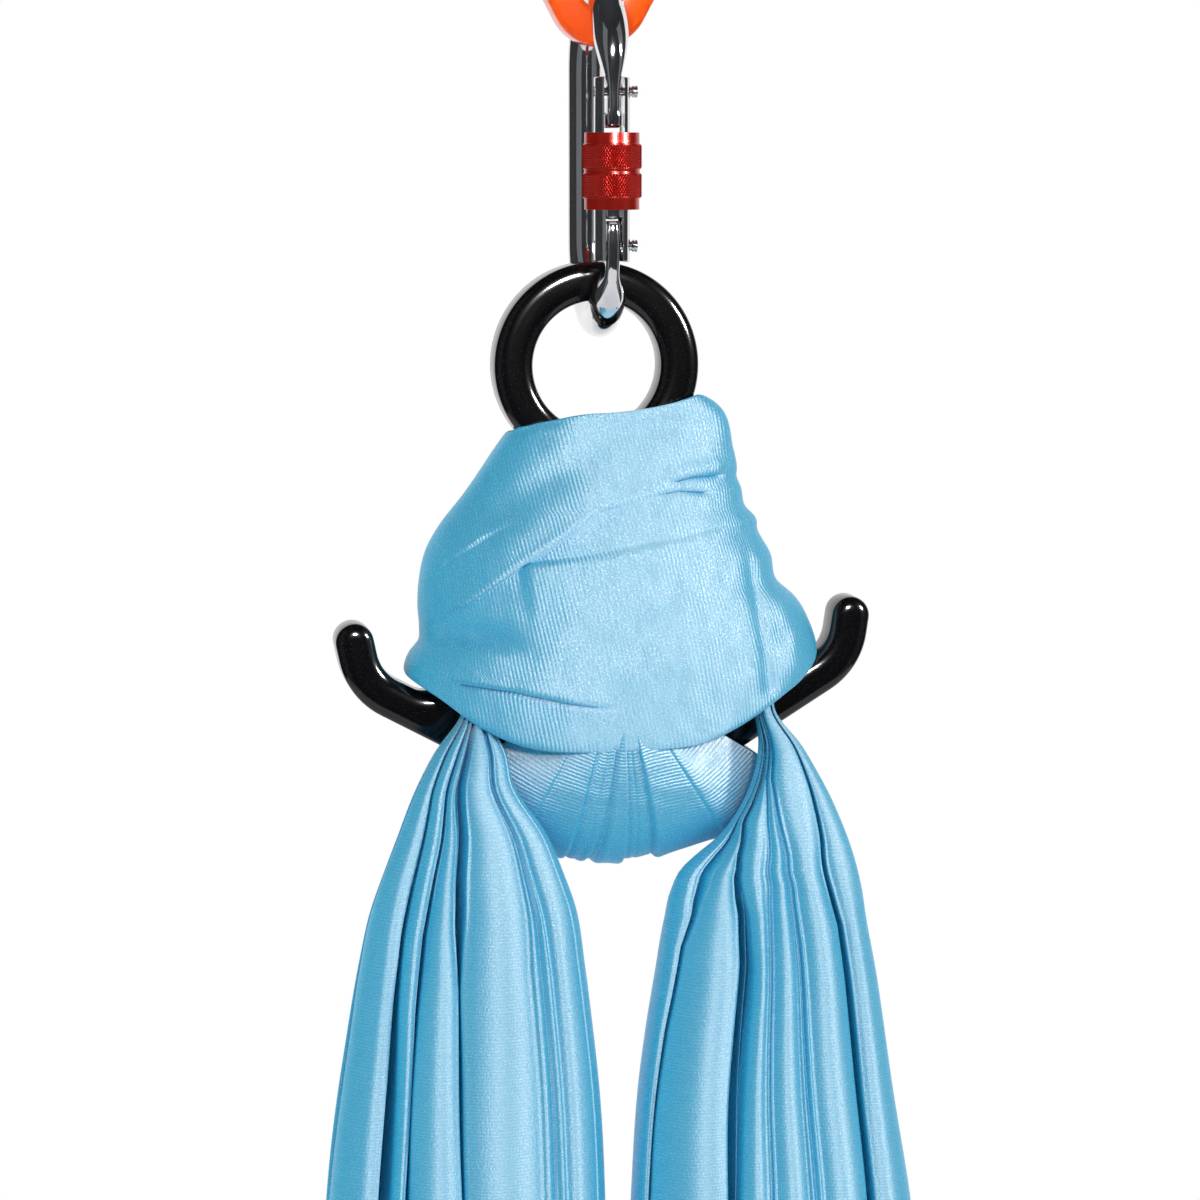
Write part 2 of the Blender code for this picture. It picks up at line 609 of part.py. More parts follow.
def carabiner_bar():
    rings = []
    hook_top = NOSE_END_Z + HOOK_HEIGHT
    shoulder = LATCH_Z + NOSE_SHOULDER
    nose = (
        (NOSE_END_Z, HOOK_HALF - HOOK_EDGE, NOSE_DEPTH - HOOK_EDGE),
        (NOSE_END_Z + HOOK_EDGE, HOOK_HALF, NOSE_DEPTH),
        (hook_top - HOOK_EDGE, HOOK_HALF, NOSE_DEPTH),
        (hook_top, NOSE_HALF, NOSE_DEPTH),
        (LATCH_Z, NOSE_HALF, NOSE_DEPTH),
    )
    for z, half_x, half_n in nose:
        rings.append(bar_ring((GATE_Y, z), (1, 0), half_x, half_n, 4.0))
    widen_from = LATCH_Z
    widen_to = TOP_BEND_Z + CLIP_HALF * 0.45
    for z in (shoulder, TOP_BEND_Z):
        share = (z - widen_from) / (widen_to - widen_from)
        rings.append(bar_ring((GATE_Y, z), (1, 0), mix(NOSE_HALF, BAR_R, share),
                              mix(NOSE_DEPTH, BAR_R, share), mix(NOSE_ROUND, BAR_ROUND, share)))
    for step in range(1, BEND_STEPS + 1):
        angle = math.pi * (1 - step / BEND_STEPS)
        y, z = CLIP_HALF * math.cos(angle), TOP_BEND_Z + CLIP_HALF * math.sin(angle)
        share = (z - widen_from) / (widen_to - widen_from) if y < 0 else 1.0
        rings.append(bar_ring((y, z), (-math.cos(angle), -math.sin(angle)), mix(NOSE_HALF, BAR_R, share),
                              mix(NOSE_DEPTH, BAR_R, share), mix(NOSE_ROUND, BAR_ROUND, share)))
    for step in range(BEND_STEPS + 1):
        turn = 180 * step / BEND_STEPS
        angle = -math.radians(turn)
        share = (180 - TONGUE_FOOT - turn) / FOOT_SPREAD
        y, z = CLIP_HALF * math.cos(angle), LOW_BEND_Z + CLIP_HALF * math.sin(angle)
        rings.append(bar_ring((y, z), (-math.cos(angle), -math.sin(angle)), mix(TONGUE_HALF, BAR_R, share),
                              mix(TONGUE_DEPTH, BAR_R, share), mix(NOSE_ROUND, BAR_ROUND, share)))
    tongue = (
        (TONGUE_TOP_Z - TONGUE_TIP_DEPTH / 2, TONGUE_HALF, (TONGUE_DEPTH + TONGUE_TIP_DEPTH) / 2),
        (TONGUE_TOP_Z, TONGUE_HALF - HOOK_EDGE, TONGUE_TIP_DEPTH),
    )
    for z, half_x, half_n in tongue:
        rings.append(bar_ring((GATE_Y, z), (1, 0), half_x, half_n, 4.0))
    return mesh_from_rings("carabiner_frame", rings)


def latch_notch():
    """The cutter for the notch that the latch pin enters, open towards the spine."""
    radius = PIN_R + FIT_GAP + NOTCH_SPARE
    points = arc((GATE_Y, LATCH_Z), radius, 90, 270)
    points += [(GATE_Y + BAR_R + CUT_PAST, LATCH_Z - radius), (GATE_Y + BAR_R + CUT_PAST, LATCH_Z + radius)]
    rings = []
    for x in (-BAR_R, BAR_R):
        rings.append([Vector((x, y, z)) for y, z in points])
    return mesh_from_rings("latch_notch", rings)


def cross_pin(name, z, material, pivot):
    """A pin across the gate with one flared end, which stands out on the right."""
    flare_from = GATE_R + FIT_GAP
    profile = (
        (PIN_R, -GATE_R + FIT_GAP),
        (PIN_R, flare_from),
        (PIN_FLARE_R, GATE_R + PIN_STAND - HOOK_EDGE),
        (PIN_FLARE_R, GATE_R + PIN_STAND),
    )
    pin = rod(name, profile, axis="X", place=(0, GATE_Y, z), steps=SMALL_TURN_STEPS)
    return add_part(name, pin, material, pivot, (0, GATE_Y, z))


def pin_hole(z):
    return plain_rod("pin_hole", PIN_R + FIT_GAP, -BAR_R - CUT_PAST, BAR_R + CUT_PAST, axis="X",
                     place=(0, GATE_Y, z), steps=SMALL_TURN_STEPS)


def gate_spring(low, high, material, pivot):
    """The coil inside the gate: one unbroken tube, with its least gap to itself printed."""
    rise = high - low - 2 * SPRING_WIRE_R
    count = max(1, round(rise / SPRING_PITCH)) * SPRING_POINTS
    points = []
    for step in range(count + 1):
        turn = 2 * math.pi * step / SPRING_POINTS
        z = low + SPRING_WIRE_R + rise * step / count
        points.append(Vector((SPRING_R * math.cos(turn), GATE_Y + SPRING_R * math.sin(turn), z)))
    least = min(
        (first - second).length - 2 * SPRING_WIRE_R
        for i, first in enumerate(points)
        for second in points[i + SPRING_POINTS // 2:]
    )
    print("least gap of the gate spring to itself: %.2f mm" % (1000 * least))
    curve = bpy.data.curves.new("gate_spring", "CURVE")
    curve.dimensions = "3D"
    curve.bevel_depth = SPRING_WIRE_R
    curve.bevel_resolution = 1
    curve.use_fill_caps = True
    spline = curve.splines.new("POLY")
    spline.points.add(count)
    centre = Vector(pivot["place"])
    for node, point in zip(spline.points, points):
        node.co = (*(point - centre), 1.0)
    curve.materials.append(material)
    item = bpy.data.objects.new("gate_spring", curve)
    bpy.context.collection.objects.link(item)
    item.parent = pivot


def carabiner(steel, dark_steel, clip_pivot, gate_pivot, plunger_pivot):
    frame = add_part("carabiner_frame", carabiner_bar(), steel, clip_pivot)
    boolean(frame, latch_notch(), clip_pivot)
    boolean(frame, pin_hole(HINGE_Z), clip_pivot)

    gate_top = LATCH_Z + GATE_ABOVE
    gate_foot = HINGE_Z - GATE_BELOW
    profile = (
        (GATE_R - GATE_EDGE, gate_foot),
        (GATE_R, gate_foot + GATE_EDGE),
        (GATE_R, gate_top - GATE_EDGE),
        (GATE_R - GATE_EDGE, gate_top),
    )
    gate_place = (0, GATE_Y, 0)
    gate = add_part("carabiner_gate", rod("carabiner_gate", profile, place=gate_place), steel, gate_pivot)
    plunger_low = TONGUE_TOP_Z + SEAT_GAP
    spring_low = plunger_low + PLUNGER_LENGTH + SEAT_GAP
    bore_top = NOSE_END_Z - NOSE_SLOT_SPARE - GATE_PLUG
    bore = plain_rod("bore", GATE_BORE_R, gate_foot - CUT_PAST, bore_top, place=gate_place)
    boolean(gate, bore, gate_pivot)
    nose_slot = block(
        "nose_slot",
        (-NOSE_SLOT / 2, GATE_Y - GATE_R - CUT_PAST, NOSE_END_Z - NOSE_SLOT_SPARE),
        (NOSE_SLOT / 2, GATE_Y + GATE_R + CUT_PAST, gate_top + CUT_PAST),
    )
    boolean(gate, nose_slot, gate_pivot)
    tongue_slot = block(
        "tongue_slot",
        (-TONGUE_SLOT / 2, GATE_Y - GATE_R - CUT_PAST, gate_foot - CUT_PAST),
        (TONGUE_SLOT / 2, GATE_Y + GATE_R + CUT_PAST, TONGUE_TOP_Z + TONGUE_SLOT_SPARE),
    )
    boolean(gate, tongue_slot, gate_pivot)
    boolean(gate, pin_hole(LATCH_Z), gate_pivot)
    boolean(gate, pin_hole(HINGE_Z), gate_pivot)
    cross_pin("gate_latch_pin", LATCH_Z, steel, gate_pivot)
    cross_pin("gate_hinge_pin", HINGE_Z, steel, clip_pivot)

    plunger_r = GATE_BORE_R - FIT_GAP
    plunger = (
        (plunger_r - PLUNGER_DOME, plunger_low),
        (plunger_r - PLUNGER_DOME * 0.3, plunger_low + PLUNGER_DOME * 0.3),
        (plunger_r, plunger_low + PLUNGER_DOME),
        (plunger_r, plunger_low + PLUNGER_LENGTH),
    )
    add_part("gate_plunger", rod("gate_plunger", plunger, place=gate_place, steps=SMALL_TURN_STEPS),
             dark_steel, plunger_pivot)
    gate_spring(spring_low, bore_top - SEAT_GAP, dark_steel, gate_pivot)


def lock_sleeve(red, nylon, travel_pivot, turn_pivot):
    place = (0, GATE_Y, SLEEVE_TOP_Z)
    bore_r = GATE_R + SLEEVE_BORE_SPARE
    ring_in = GATE_R + FIT_GAP
    ring_out = ring_in + FRICTION_RING_WALL
    seat_r = ring_out + FIT_GAP
    seat_top = -FRICTION_RING_DROP
    seat_foot = seat_top - FRICTION_RING_THICK - 2 * FIT_GAP
    middle = -SLEEVE_LENGTH / 2
    profile = (
        (bore_r, 0.0),
        (bore_r, seat_top),
        (seat_r, seat_top),
        (seat_r, seat_foot),
        (bore_r, seat_foot),
        (bore_r, -SLEEVE_LENGTH),
        (COLLAR_R - SLEEVE_EDGE, -SLEEVE_LENGTH),
        (COLLAR_R, -SLEEVE_LENGTH + SLEEVE_EDGE),
        (COLLAR_R, -SLEEVE_LENGTH + COLLAR_HEIGHT),
        (SLEEVE_R, -SLEEVE_LENGTH + COLLAR_HEIGHT),
        (SLEEVE_R, middle - SLEEVE_GROOVE / 2),
        (SLEEVE_R - SLEEVE_GROOVE_DEPTH, middle - SLEEVE_GROOVE / 2),
        (SLEEVE_R - SLEEVE_GROOVE_DEPTH, middle + SLEEVE_GROOVE / 2),
        (SLEEVE_R, middle + SLEEVE_GROOVE / 2),
        (SLEEVE_R, -COLLAR_HEIGHT),
        (COLLAR_R, -COLLAR_HEIGHT),
        (COLLAR_R, -SLEEVE_EDGE),
        (COLLAR_R - SLEEVE_EDGE, 0.0),
    )
    add_part("lock_sleeve", turned("lock_sleeve", profile, place=place), red, turn_pivot, place)
    ring_top = seat_top - FIT_GAP
    ring = (
        (ring_in, ring_top - FRICTION_RING_THICK),
        (ring_out, ring_top - FRICTION_RING_THICK),
        (ring_out, ring_top),
        (ring_in, ring_top),
    )
    add_part("sleeve_friction_ring", turned("sleeve_friction_ring", ring, place=place), nylon,
             travel_pivot, place)


def neck_fillet_radius():
    """The radius of the arcs that run from one ring into the other and leave the neck its width."""
    share = (LARGE_R - NECK_HALF) / (SMALL_R - NECK_HALF)
    rest = RING_SPACING ** 2 - LARGE_R ** 2 + NECK_HALF ** 2 + share * (SMALL_R ** 2 - NECK_HALF ** 2)
    down = rest / (RING_SPACING + math.sqrt(RING_SPACING ** 2 - (1 - share) * rest))
    return (down ** 2 - SMALL_R ** 2 + NECK_HALF ** 2) / (2 * (SMALL_R - NECK_HALF))


def circles_meet(first, first_r, second, second_r):
    """The right-hand point where two circles on the plane's vertical middle line cross."""
    apart = first[1] - second[1]
    down = (apart ** 2 + first_r ** 2 - second_r ** 2) / (2 * apart)
    return (math.sqrt(first_r ** 2 - down ** 2), first[1] - down)


def direction(start, end):
    return math.degrees(math.atan2(end[1] - start[1], end[0] - start[0]))


def eight_outline(grow):
    """The rescue eight's outer outline, right half from its foot to its top, then the left."""
    small = (0.0, 0.0)
    large = (0.0, -RING_SPACING)
    half_band = EIGHT_BAND / 2
    tilt = math.radians(HORN_RISE)
    along = (math.cos(tilt), math.sin(tilt))
    below = (math.sin(tilt), -math.cos(tilt))
    middle_r = LARGE_R - half_band
    bend_start = (
        large[0] + below[0] * middle_r + along[0] * HORN_RUN,
        large[1] + below[1] * middle_r + along[1] * HORN_RUN,
    )
    bend = (bend_start[0] - below[0] * HORN_BEND_R, bend_start[1] - below[1] * HORN_BEND_R)
    lean = math.radians(HORN_LEAN)
    tip = (
        bend[0] + math.cos(lean) * HORN_BEND_R + math.sin(lean) * HORN_TIP_RUN,
        bend[1] - math.sin(lean) * HORN_BEND_R + math.cos(lean) * HORN_TIP_RUN,
    )
    deep = LARGE_R - EIGHT_BAND - HORN_FILLET
    reach = math.sqrt((LARGE_R + HORN_FILLET) ** 2 - deep ** 2)
    fillet = (
        large[0] + below[0] * deep + along[0] * reach,
        large[1] + below[1] * deep + along[1] * reach,
    )
    neck_r = neck_fillet_radius()
    neck = circles_meet(small, SMALL_R + neck_r, large, LARGE_R + neck_r)
    foot = HORN_RISE - 90
    right = arc(large, LARGE_R + grow, -90, foot)
    right += arc(bend, HORN_BEND_R + half_band + grow, foot, -HORN_LEAN)
    right += arc(tip, half_band + grow, -HORN_LEAN, 180 - HORN_LEAN)
    right += arc(bend, HORN_BEND_R - half_band - grow, -HORN_LEAN, foot)
    right += arc(fillet, HORN_FILLET - grow, foot, direction(fillet, large) % 360 - 360)
    right += arc(large, LARGE_R + grow, direction(large, fillet), direction(large, neck))
    right += arc(neck, neck_r - grow, direction(neck, large) + 360, direction(neck, small))
    right += arc(small, SMALL_R + grow, direction(small, neck), 90)
    left = [(-x, z) for x, z in reversed(right)]
    return without_doubles(right + left)


def circle(radius):
    def outline(grow):
        return without_doubles(arc((0.0, 0.0), radius + grow, 0, 360))
    return outline


def rescue_eight(black, pivot):
    def local(mesh):
        mesh.transform(Matrix.Rotation(math.radians(EIGHT_TILT), 4, "Y"))
        mesh.transform(Matrix.Translation(EIGHT_CENTRE))
        return mesh

    body = plate("rescue_eight", eight_outline, EIGHT_THICK, EIGHT_EDGE)
    item = add_part("rescue_eight", local(body), black, pivot, EIGHT_CENTRE)
    small = window("small_hole", circle(SMALL_HOLE_R), EIGHT_THICK, EIGHT_EDGE)
    large_centre = (0.0, -RING_SPACING)
    large = window("large_hole", circle(LARGE_R - EIGHT_BAND), EIGHT_THICK, EIGHT_EDGE, large_centre)
    boolean(item, local(small), pivot)
    boolean(item, local(large), pivot)


def smooth_keys(keys, places):
    """Reads a table of rows at places of its first column, on a smooth curve through the rows."""
    table = np.array(keys, dtype=float)
    at = table[:, 0]
    slope = np.gradient(table[:, 1:], at, axis=0)
    rows = []
    for place in places:
        i = int(np.clip(np.searchsorted(at, place) - 1, 0, len(at) - 2))
        step = at[i + 1] - at[i]
        t = float(np.clip((place - at[i]) / step, 0, 1))
        h00 = 2 * t ** 3 - 3 * t ** 2 + 1
        h01 = 1 - h00
        h10 = t ** 3 - 2 * t ** 2 + t
        h11 = t ** 3 - t ** 2
        rows.append(h00 * table[i, 1:] + h01 * table[i + 1, 1:] + step * (h10 * slope[i] + h11 * slope[i + 1]))
    return np.array(rows)


def wrap_relief(across, down):
    """How far the wrap's main folds stand out at a place on its front."""
    total = 0.0
    for x1, h1, x2, h2, height in WRAP_FOLDS:
        run = np.array((x2 - x1, h2 - h1))
        offset = np.array((across - x1, down - h1))
        share = float(np.clip(offset @ run / (run @ run), 0, 1))
        away = float(np.linalg.norm(offset - share * run))
        total += height * math.exp(-(away / WRAP_FOLD_WIDTH) ** 2)
    return total


def wrap_rings(columns, rows, inset):
    """The wrap's rings from its top edge to its hem, moved inward by inset."""
    rings = [[] for _ in range(rows)]
    for column in range(columns):
        angle = 2 * math.pi * column / columns
        c, s = math.cos(angle), math.sin(angle)
        front = s < 0
        hem = float(smooth_keys(WRAP_HEM, (c,))[0, 0])
        side = WRAP_HEM[0][1]
        if not front and hem > side:
            hem = side + (hem - side) * HEM_BACK
        reach = WRAP_FORM[1][2] if c > 0 else WRAP_FORM[1][1]
        top = WRAP_TOP - WRAP_TOP_SLOPE * c * reach
        for row in range(rows):
            down = top + (hem - top) * row / (rows - 1)
            left, right, deep = smooth_keys(WRAP_FORM, (down,))[0]
            share = mix(3.2, CLOTH_ROUND, (down - WRAP_TOP) / 0.03)
            across = math.copysign(abs(c) ** (2 / share), c) * ((right if c > 0 else left) - inset)
            out = math.copysign(abs(s) ** (2 / share), s) * (deep - inset)
            if front and inset == 0:
                out -= wrap_relief(across, down) * min(1.0, 2 * abs(s))
            rings[row].append(EIGHT_CENTRE + Vector((across, out, -down)))
    return rings


def fabric_wrap(cloth, pivot):
    """A sleeve of cloth that is open at its top and at its hem. Its inside is drawn coarser."""
    outer = wrap_rings(WRAP_COLUMNS, WRAP_ROWS, 0.0)
    inner = wrap_rings(WRAP_COLUMNS // 2, WRAP_ROWS // 2 + 1, WRAP_WALL)
    work = bmesh.new()
    outside = [[work.verts.new(point) for point in ring] for ring in outer]
    inside = [[work.verts.new(point) for point in ring] for ring in inner]
    for sheet in (outside, inside):
        for first, second in zip(sheet, sheet[1:]):
            for i in range(len(first)):
                j = (i + 1) % len(first)
                work.faces.new((first[i], first[j], second[j], second[i]))
    for fine, coarse in ((outside[0], inside[0]), (outside[-1], inside[-1])):
        for i, point in enumerate(coarse):
            after = coarse[(i + 1) % len(coarse)]
            here, halfway, there = fine[2 * i], fine[2 * i + 1], fine[(2 * i + 2) % len(fine)]
            work.faces.new((here, halfway, point))
            work.faces.new((halfway, after, point))
            work.faces.new((halfway, there, after))
    bmesh.ops.recalc_face_normals(work, faces=work.faces)
    mesh = bpy.data.meshes.new("fabric_wrap")
    work.to_mesh(mesh)
    work.free()
    add_part("fabric_wrap", mesh, cloth, pivot, EIGHT_CENTRE, sharp=CLOTH_SHARP)


def belly_rings(columns, lining):
    """Cross-sections of the belly, square to the large ring. The lining is what faces the ring."""
    tilt = Matrix.Rotation(math.radians(EIGHT_TILT), 3, "Y")
    centre = EIGHT_CENTRE + tilt @ Vector((0, 0, -RING_SPACING))
    turns = np.linspace(BELLY_FORM[0][0], BELLY_FORM[-1][0], columns)
    rings = []
    for turn, (below, above, deep) in zip(turns, smooth_keys(BELLY_FORM, turns)):
        # Past the place where the horn's lower edge leaves the ring, the horn's edge counts
        past = max(0.0, abs(turn) - HORN_RISE)
        ring_edge = LARGE_R / math.cos(math.radians(past))
        hole_edge = LARGE_R - EIGHT_BAND
        pleat = BELLY_PLEAT_DEPTH * sum(math.exp(-((turn - at) / BELLY_PLEAT_WIDTH) ** 2) for at in BELLY_PLEATS)
        if lining:
            far, near = ring_edge + CLOTH_GAP, hole_edge - CLOTH_GAP
            deep = EIGHT_THICK / 2 + CLOTH_GAP
            roundness = 4.0
        else:
            far, near = LARGE_R + below - pleat, hole_edge - above
            deep = deep - pleat
            roundness = CLOTH_ROUND
        angle = math.radians(turn - 90)
        out = tilt @ Vector((math.cos(angle), 0, math.sin(angle)))
        ring = []
        for side in range(BELLY_SIDES):
            around = 2 * math.pi * side / BELLY_SIDES
            c, s = math.cos(around), math.sin(around)
            across = deep * math.copysign(abs(c) ** (2 / roundness), c)
            reach = (far - near) / 2 * math.copysign(abs(s) ** (2 / roundness), s)
            ring.append(centre + out * ((far + near) / 2 + reach) + Vector((0, across, 0)))
        rings.append(ring)
    return rings


def fabric_belly(cloth, pivot):
    """The band of cloth round the large ring's foot: a sleeve that the ring passes through."""
    outer = belly_rings(BELLY_COLUMNS, False)
    inner = belly_rings(BELLY_LINING_COLUMNS, True)
    mesh = mesh_from_rings("fabric_belly", outer + inner[::-1], closed=True)
    add_part("fabric_belly", mesh, cloth, pivot, EIGHT_CENTRE, sharp=CLOTH_SHARP)


def fold_columns(folds, columns):
    """Places across the cloth, from edge to edge, with one on each fold."""
    stops = [0.0] + [place for place, _ in folds] + [1.0]
    places = []
    for first, second in zip(stops, stops[1:]):
        for step in range(columns):
            places.append(first + (second - first) * (0.5 - 0.5 * math.cos(math.pi * step / columns)))
    return places + [1.0]


def fold_depth(place, folds, strength):
    return strength * sum(
        depth * math.exp(-((place - at) / FOLD_WIDTH) ** 2) for at, depth in folds
    )


def gathered_ring(centre, across, half_across, half_deep, front_folds, back_folds, strength):
    """A cross-section of the gathered cloth, front from edge to edge and then the back."""
    ring = []
    for side, folds, columns in ((-1, front_folds, FOLD_COLUMNS), (1, back_folds, BACK_COLUMNS)):
        places = fold_columns(folds, columns)
        for place in (places[:-1] if side < 0 else places[:0:-1]):
            out = (1 - abs(2 * place - 1) ** CLOTH_ROUND) ** (1 / CLOTH_ROUND)
            deep = half_deep * out - fold_depth(place, folds, strength) * min(1.0, 2 * out)
            ring.append(centre + across * half_across * (2 * place - 1) + Vector((0, side * deep, 0)))
    return ring


def fabric_tail(name, form, folds, cloth, pivot):
    steps = np.cumsum(np.concatenate(([0.0], TAIL_ROW_GROWTH ** np.arange(TAIL_ROWS))))
    heights = form[0][0] + (form[-1][0] - CLOTH_GAP - form[0][0]) * steps / steps[-1]
    rings = []
    for down, (outer, inner, back, front) in zip(heights, smooth_keys(form, heights)):
        middle = EIGHT_CENTRE + Vector(((outer + inner) / 2, (back + front) / 2, -down))
        across = Vector((math.copysign(1.0, inner - outer), 0, 0))
        half = abs(inner - outer) / 2
        strength = min(1.0, (down - form[0][0]) / FOLD_START) * min(1.0, half / 0.02)
        rings.append(gathered_ring(middle, across, half, (back - front) / 2, folds, BACK_FOLDS, strength))
    add_part(name, mesh_from_rings(name, rings), cloth, pivot, EIGHT_CENTRE, sharp=CLOTH_SHARP)


def sling_rings():
    """Cross-sections from the left tail's end, round the loop and up to the right tail's end."""
    left = [(x, TAIL_FOOT + SLING_DROP * share, thick, deep) for x, share, thick, deep in SLING_FORM]
    right = [(2 * SLING_MIDDLE - x, down, thick, deep) for x, down, thick, deep in left[-2::-1]]
    form = np.array(left + right)
    run = np.concatenate(([0], np.cumsum(np.hypot(np.diff(form[:, 0]), np.diff(form[:, 1])))))
    keys = np.column_stack((run / run[-1], form))
    places = np.linspace(0, 1, SLING_ROWS + 1)
    rows = smooth_keys(keys, places)
    rings = []
    for i, (x, down, thick, deep) in enumerate(rows):
        ahead, behind = rows[min(i + 1, SLING_ROWS)], rows[max(i - 1, 0)]
        run_dir = Vector((ahead[0] - behind[0], 0, behind[1] - ahead[1])).normalized()
        across = Vector((-run_dir.z, 0, run_dir.x))
        share = places[i]
        front = [(a[0] + (1 - b[0] - a[0]) * share, a[1] + (b[1] - a[1]) * share)
                 for a, b in zip(LEFT_FOLDS, reversed(RIGHT_FOLDS))]
        loose = 1 - math.sin(math.pi * share) ** 2
        centre = EIGHT_CENTRE + Vector((x, 0, -down))
        rings.append(gathered_ring(centre, across, thick, deep, front, BACK_FOLDS, loose))
    return rings


def fabric_sling(cloth, pivot):
    mesh = mesh_from_rings("fabric_sling", sling_rings())
    add_part("fabric_sling", mesh, cloth, pivot, EIGHT_CENTRE, sharp=CLOTH_SHARP)


def build():
    clear_scene()
    orange = make_material("orange_anodised", (0.90, 0.20, 0.02), 0.25, 0.8)
    red = make_material("red_anodised", (0.55, 0.03, 0.02), 0.28, 0.8)
    chrome = make_material("chromed_steel", (0.75, 0.75, 0.76), 0.08, 1.0)
    steel = make_material("bright_steel", (0.62, 0.62, 0.63), 0.25, 1.0)
    bronze = make_material("bronze", (0.55, 0.36, 0.16), 0.35, 1.0)
    nylon = make_material("white_nylon", (0.80, 0.80, 0.78), 0.50, 0.0)
    black = make_material("black_powder_coat", (0.012, 0.012, 0.014), 0.25, 0.0)
    cloth = make_material("sky_blue_tricot", (0.17, 0.55, 0.85), 0.55, 0.0)

    root = make_pivot("hanger_point", (0, 0, 0))
    spinner = make_pivot("swivel_axis", (0, 0, SWIVEL_MIDDLE_Z), root)
    cage = make_pivot("cage_axis", (0, 0, SWIVEL_MIDDLE_Z), root)
    clip = make_pivot("carabiner_pivot", (0, 0, CLIP_TOP_Z - BAR_R), spinner)
    gate = make_pivot("gate_pivot", (0, GATE_Y, HINGE_Z), clip)
    plunger = make_pivot("plunger_slide", (0, GATE_Y, TONGUE_TOP_Z), gate)
    travel = make_pivot("sleeve_travel", (0, GATE_Y, SLEEVE_TOP_Z), gate)
    turn = make_pivot("sleeve_turn", (0, GATE_Y, SLEEVE_TOP_Z), travel)
    eight = make_pivot("eight_pivot", (0, 0, LOW_BAR_Z), clip)

    swivel(orange, steel, nylon, bronze, root, spinner, cage)
    carabiner(chrome, steel, clip, gate, plunger)
    lock_sleeve(red, nylon, travel, turn)
    rescue_eight(black, eight)
    fabric_wrap(cloth, eight)
    fabric_belly(cloth, eight)
    fabric_tail("fabric_tail_left", LEFT_TAIL, LEFT_FOLDS, cloth, eight)
    fabric_tail("fabric_tail_right", RIGHT_TAIL, RIGHT_FOLDS, cloth, eight)
    fabric_sling(cloth, eight)
    bpy.context.view_layer.update()
    for label, place in (
        ("swivel middle", SWIVEL_MIDDLE_Z),
        ("carabiner top bar", CLIP_TOP_Z - BAR_R),
        ("latch pin", LATCH_Z),
        ("hinge pin", HINGE_Z),
        ("sleeve top", SLEEVE_TOP_Z),
        ("carabiner low bar", LOW_BAR_Z),
        ("small ring centre", EIGHT_Z),
    ):
        print("height of the %s: %.2f mm" % (label, 1000 * place))


build()
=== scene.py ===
import math

import bmesh
import bpy
import numpy as np
from mathutils import Matrix, Vector


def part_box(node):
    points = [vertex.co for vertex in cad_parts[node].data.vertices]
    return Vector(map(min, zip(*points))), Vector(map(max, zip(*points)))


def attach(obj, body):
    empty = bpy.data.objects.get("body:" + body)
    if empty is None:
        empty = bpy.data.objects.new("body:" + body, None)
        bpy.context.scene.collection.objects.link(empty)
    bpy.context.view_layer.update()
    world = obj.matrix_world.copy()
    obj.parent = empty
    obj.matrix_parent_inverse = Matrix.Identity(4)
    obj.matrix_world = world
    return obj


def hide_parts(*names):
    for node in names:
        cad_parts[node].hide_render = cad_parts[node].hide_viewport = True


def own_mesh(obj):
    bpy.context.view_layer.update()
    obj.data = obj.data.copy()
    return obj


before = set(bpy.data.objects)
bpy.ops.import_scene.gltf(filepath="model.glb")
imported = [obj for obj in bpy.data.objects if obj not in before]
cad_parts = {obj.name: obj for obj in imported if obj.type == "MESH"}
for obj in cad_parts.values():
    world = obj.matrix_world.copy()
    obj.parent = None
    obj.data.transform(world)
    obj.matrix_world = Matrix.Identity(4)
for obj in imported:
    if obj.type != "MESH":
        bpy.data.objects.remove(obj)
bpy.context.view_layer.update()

# Camera
# It stands a little left of the hammock's front and a little above the descender, where the photograph
# was taken from.
AIM = Vector((0.0005, 0.0, -0.2615))
AZIMUTH, ELEVATION = math.radians(-9.6), math.radians(7.1)
DISTANCE, LENS, SENSOR = 1.05, 108.62, 36


def add_object(name, data):
    """A new object at the origin."""
    item = bpy.data.objects.new(name, data)
    bpy.context.scene.collection.objects.link(item)
    return item


def aim(item, place, direction):
    """Puts a camera or a lamp at a place, looking along a direction."""
    item.location = place
    item.rotation_mode = "QUATERNION"
    item.rotation_quaternion = direction.to_track_quat("-Z", "Y")


back = Vector((math.sin(AZIMUTH) * math.cos(ELEVATION), -math.cos(AZIMUTH) * math.cos(ELEVATION),
               math.sin(ELEVATION)))
camera = add_object("camera", bpy.data.cameras.new("camera"))
camera.data.sensor_width, camera.data.lens = SENSOR, LENS
camera.data.clip_start, camera.data.clip_end = 0.05, 60
aim(camera, AIM + back * DISTANCE, -back)
bpy.context.scene.camera = camera
bpy.context.scene.view_settings.view_transform = "Standard"

# Studio
# A white floor that fades into a white room with an even light. Two strong lamps, on the right and in
# front, give only gloss. Three give only soft light, the last of them narrow and aimed at the orange eye.
# Dark and grey cards that only reflections show stand all round, as for photographing chrome.
KEY_PLACE = (1.50, -1.30, 0.35)
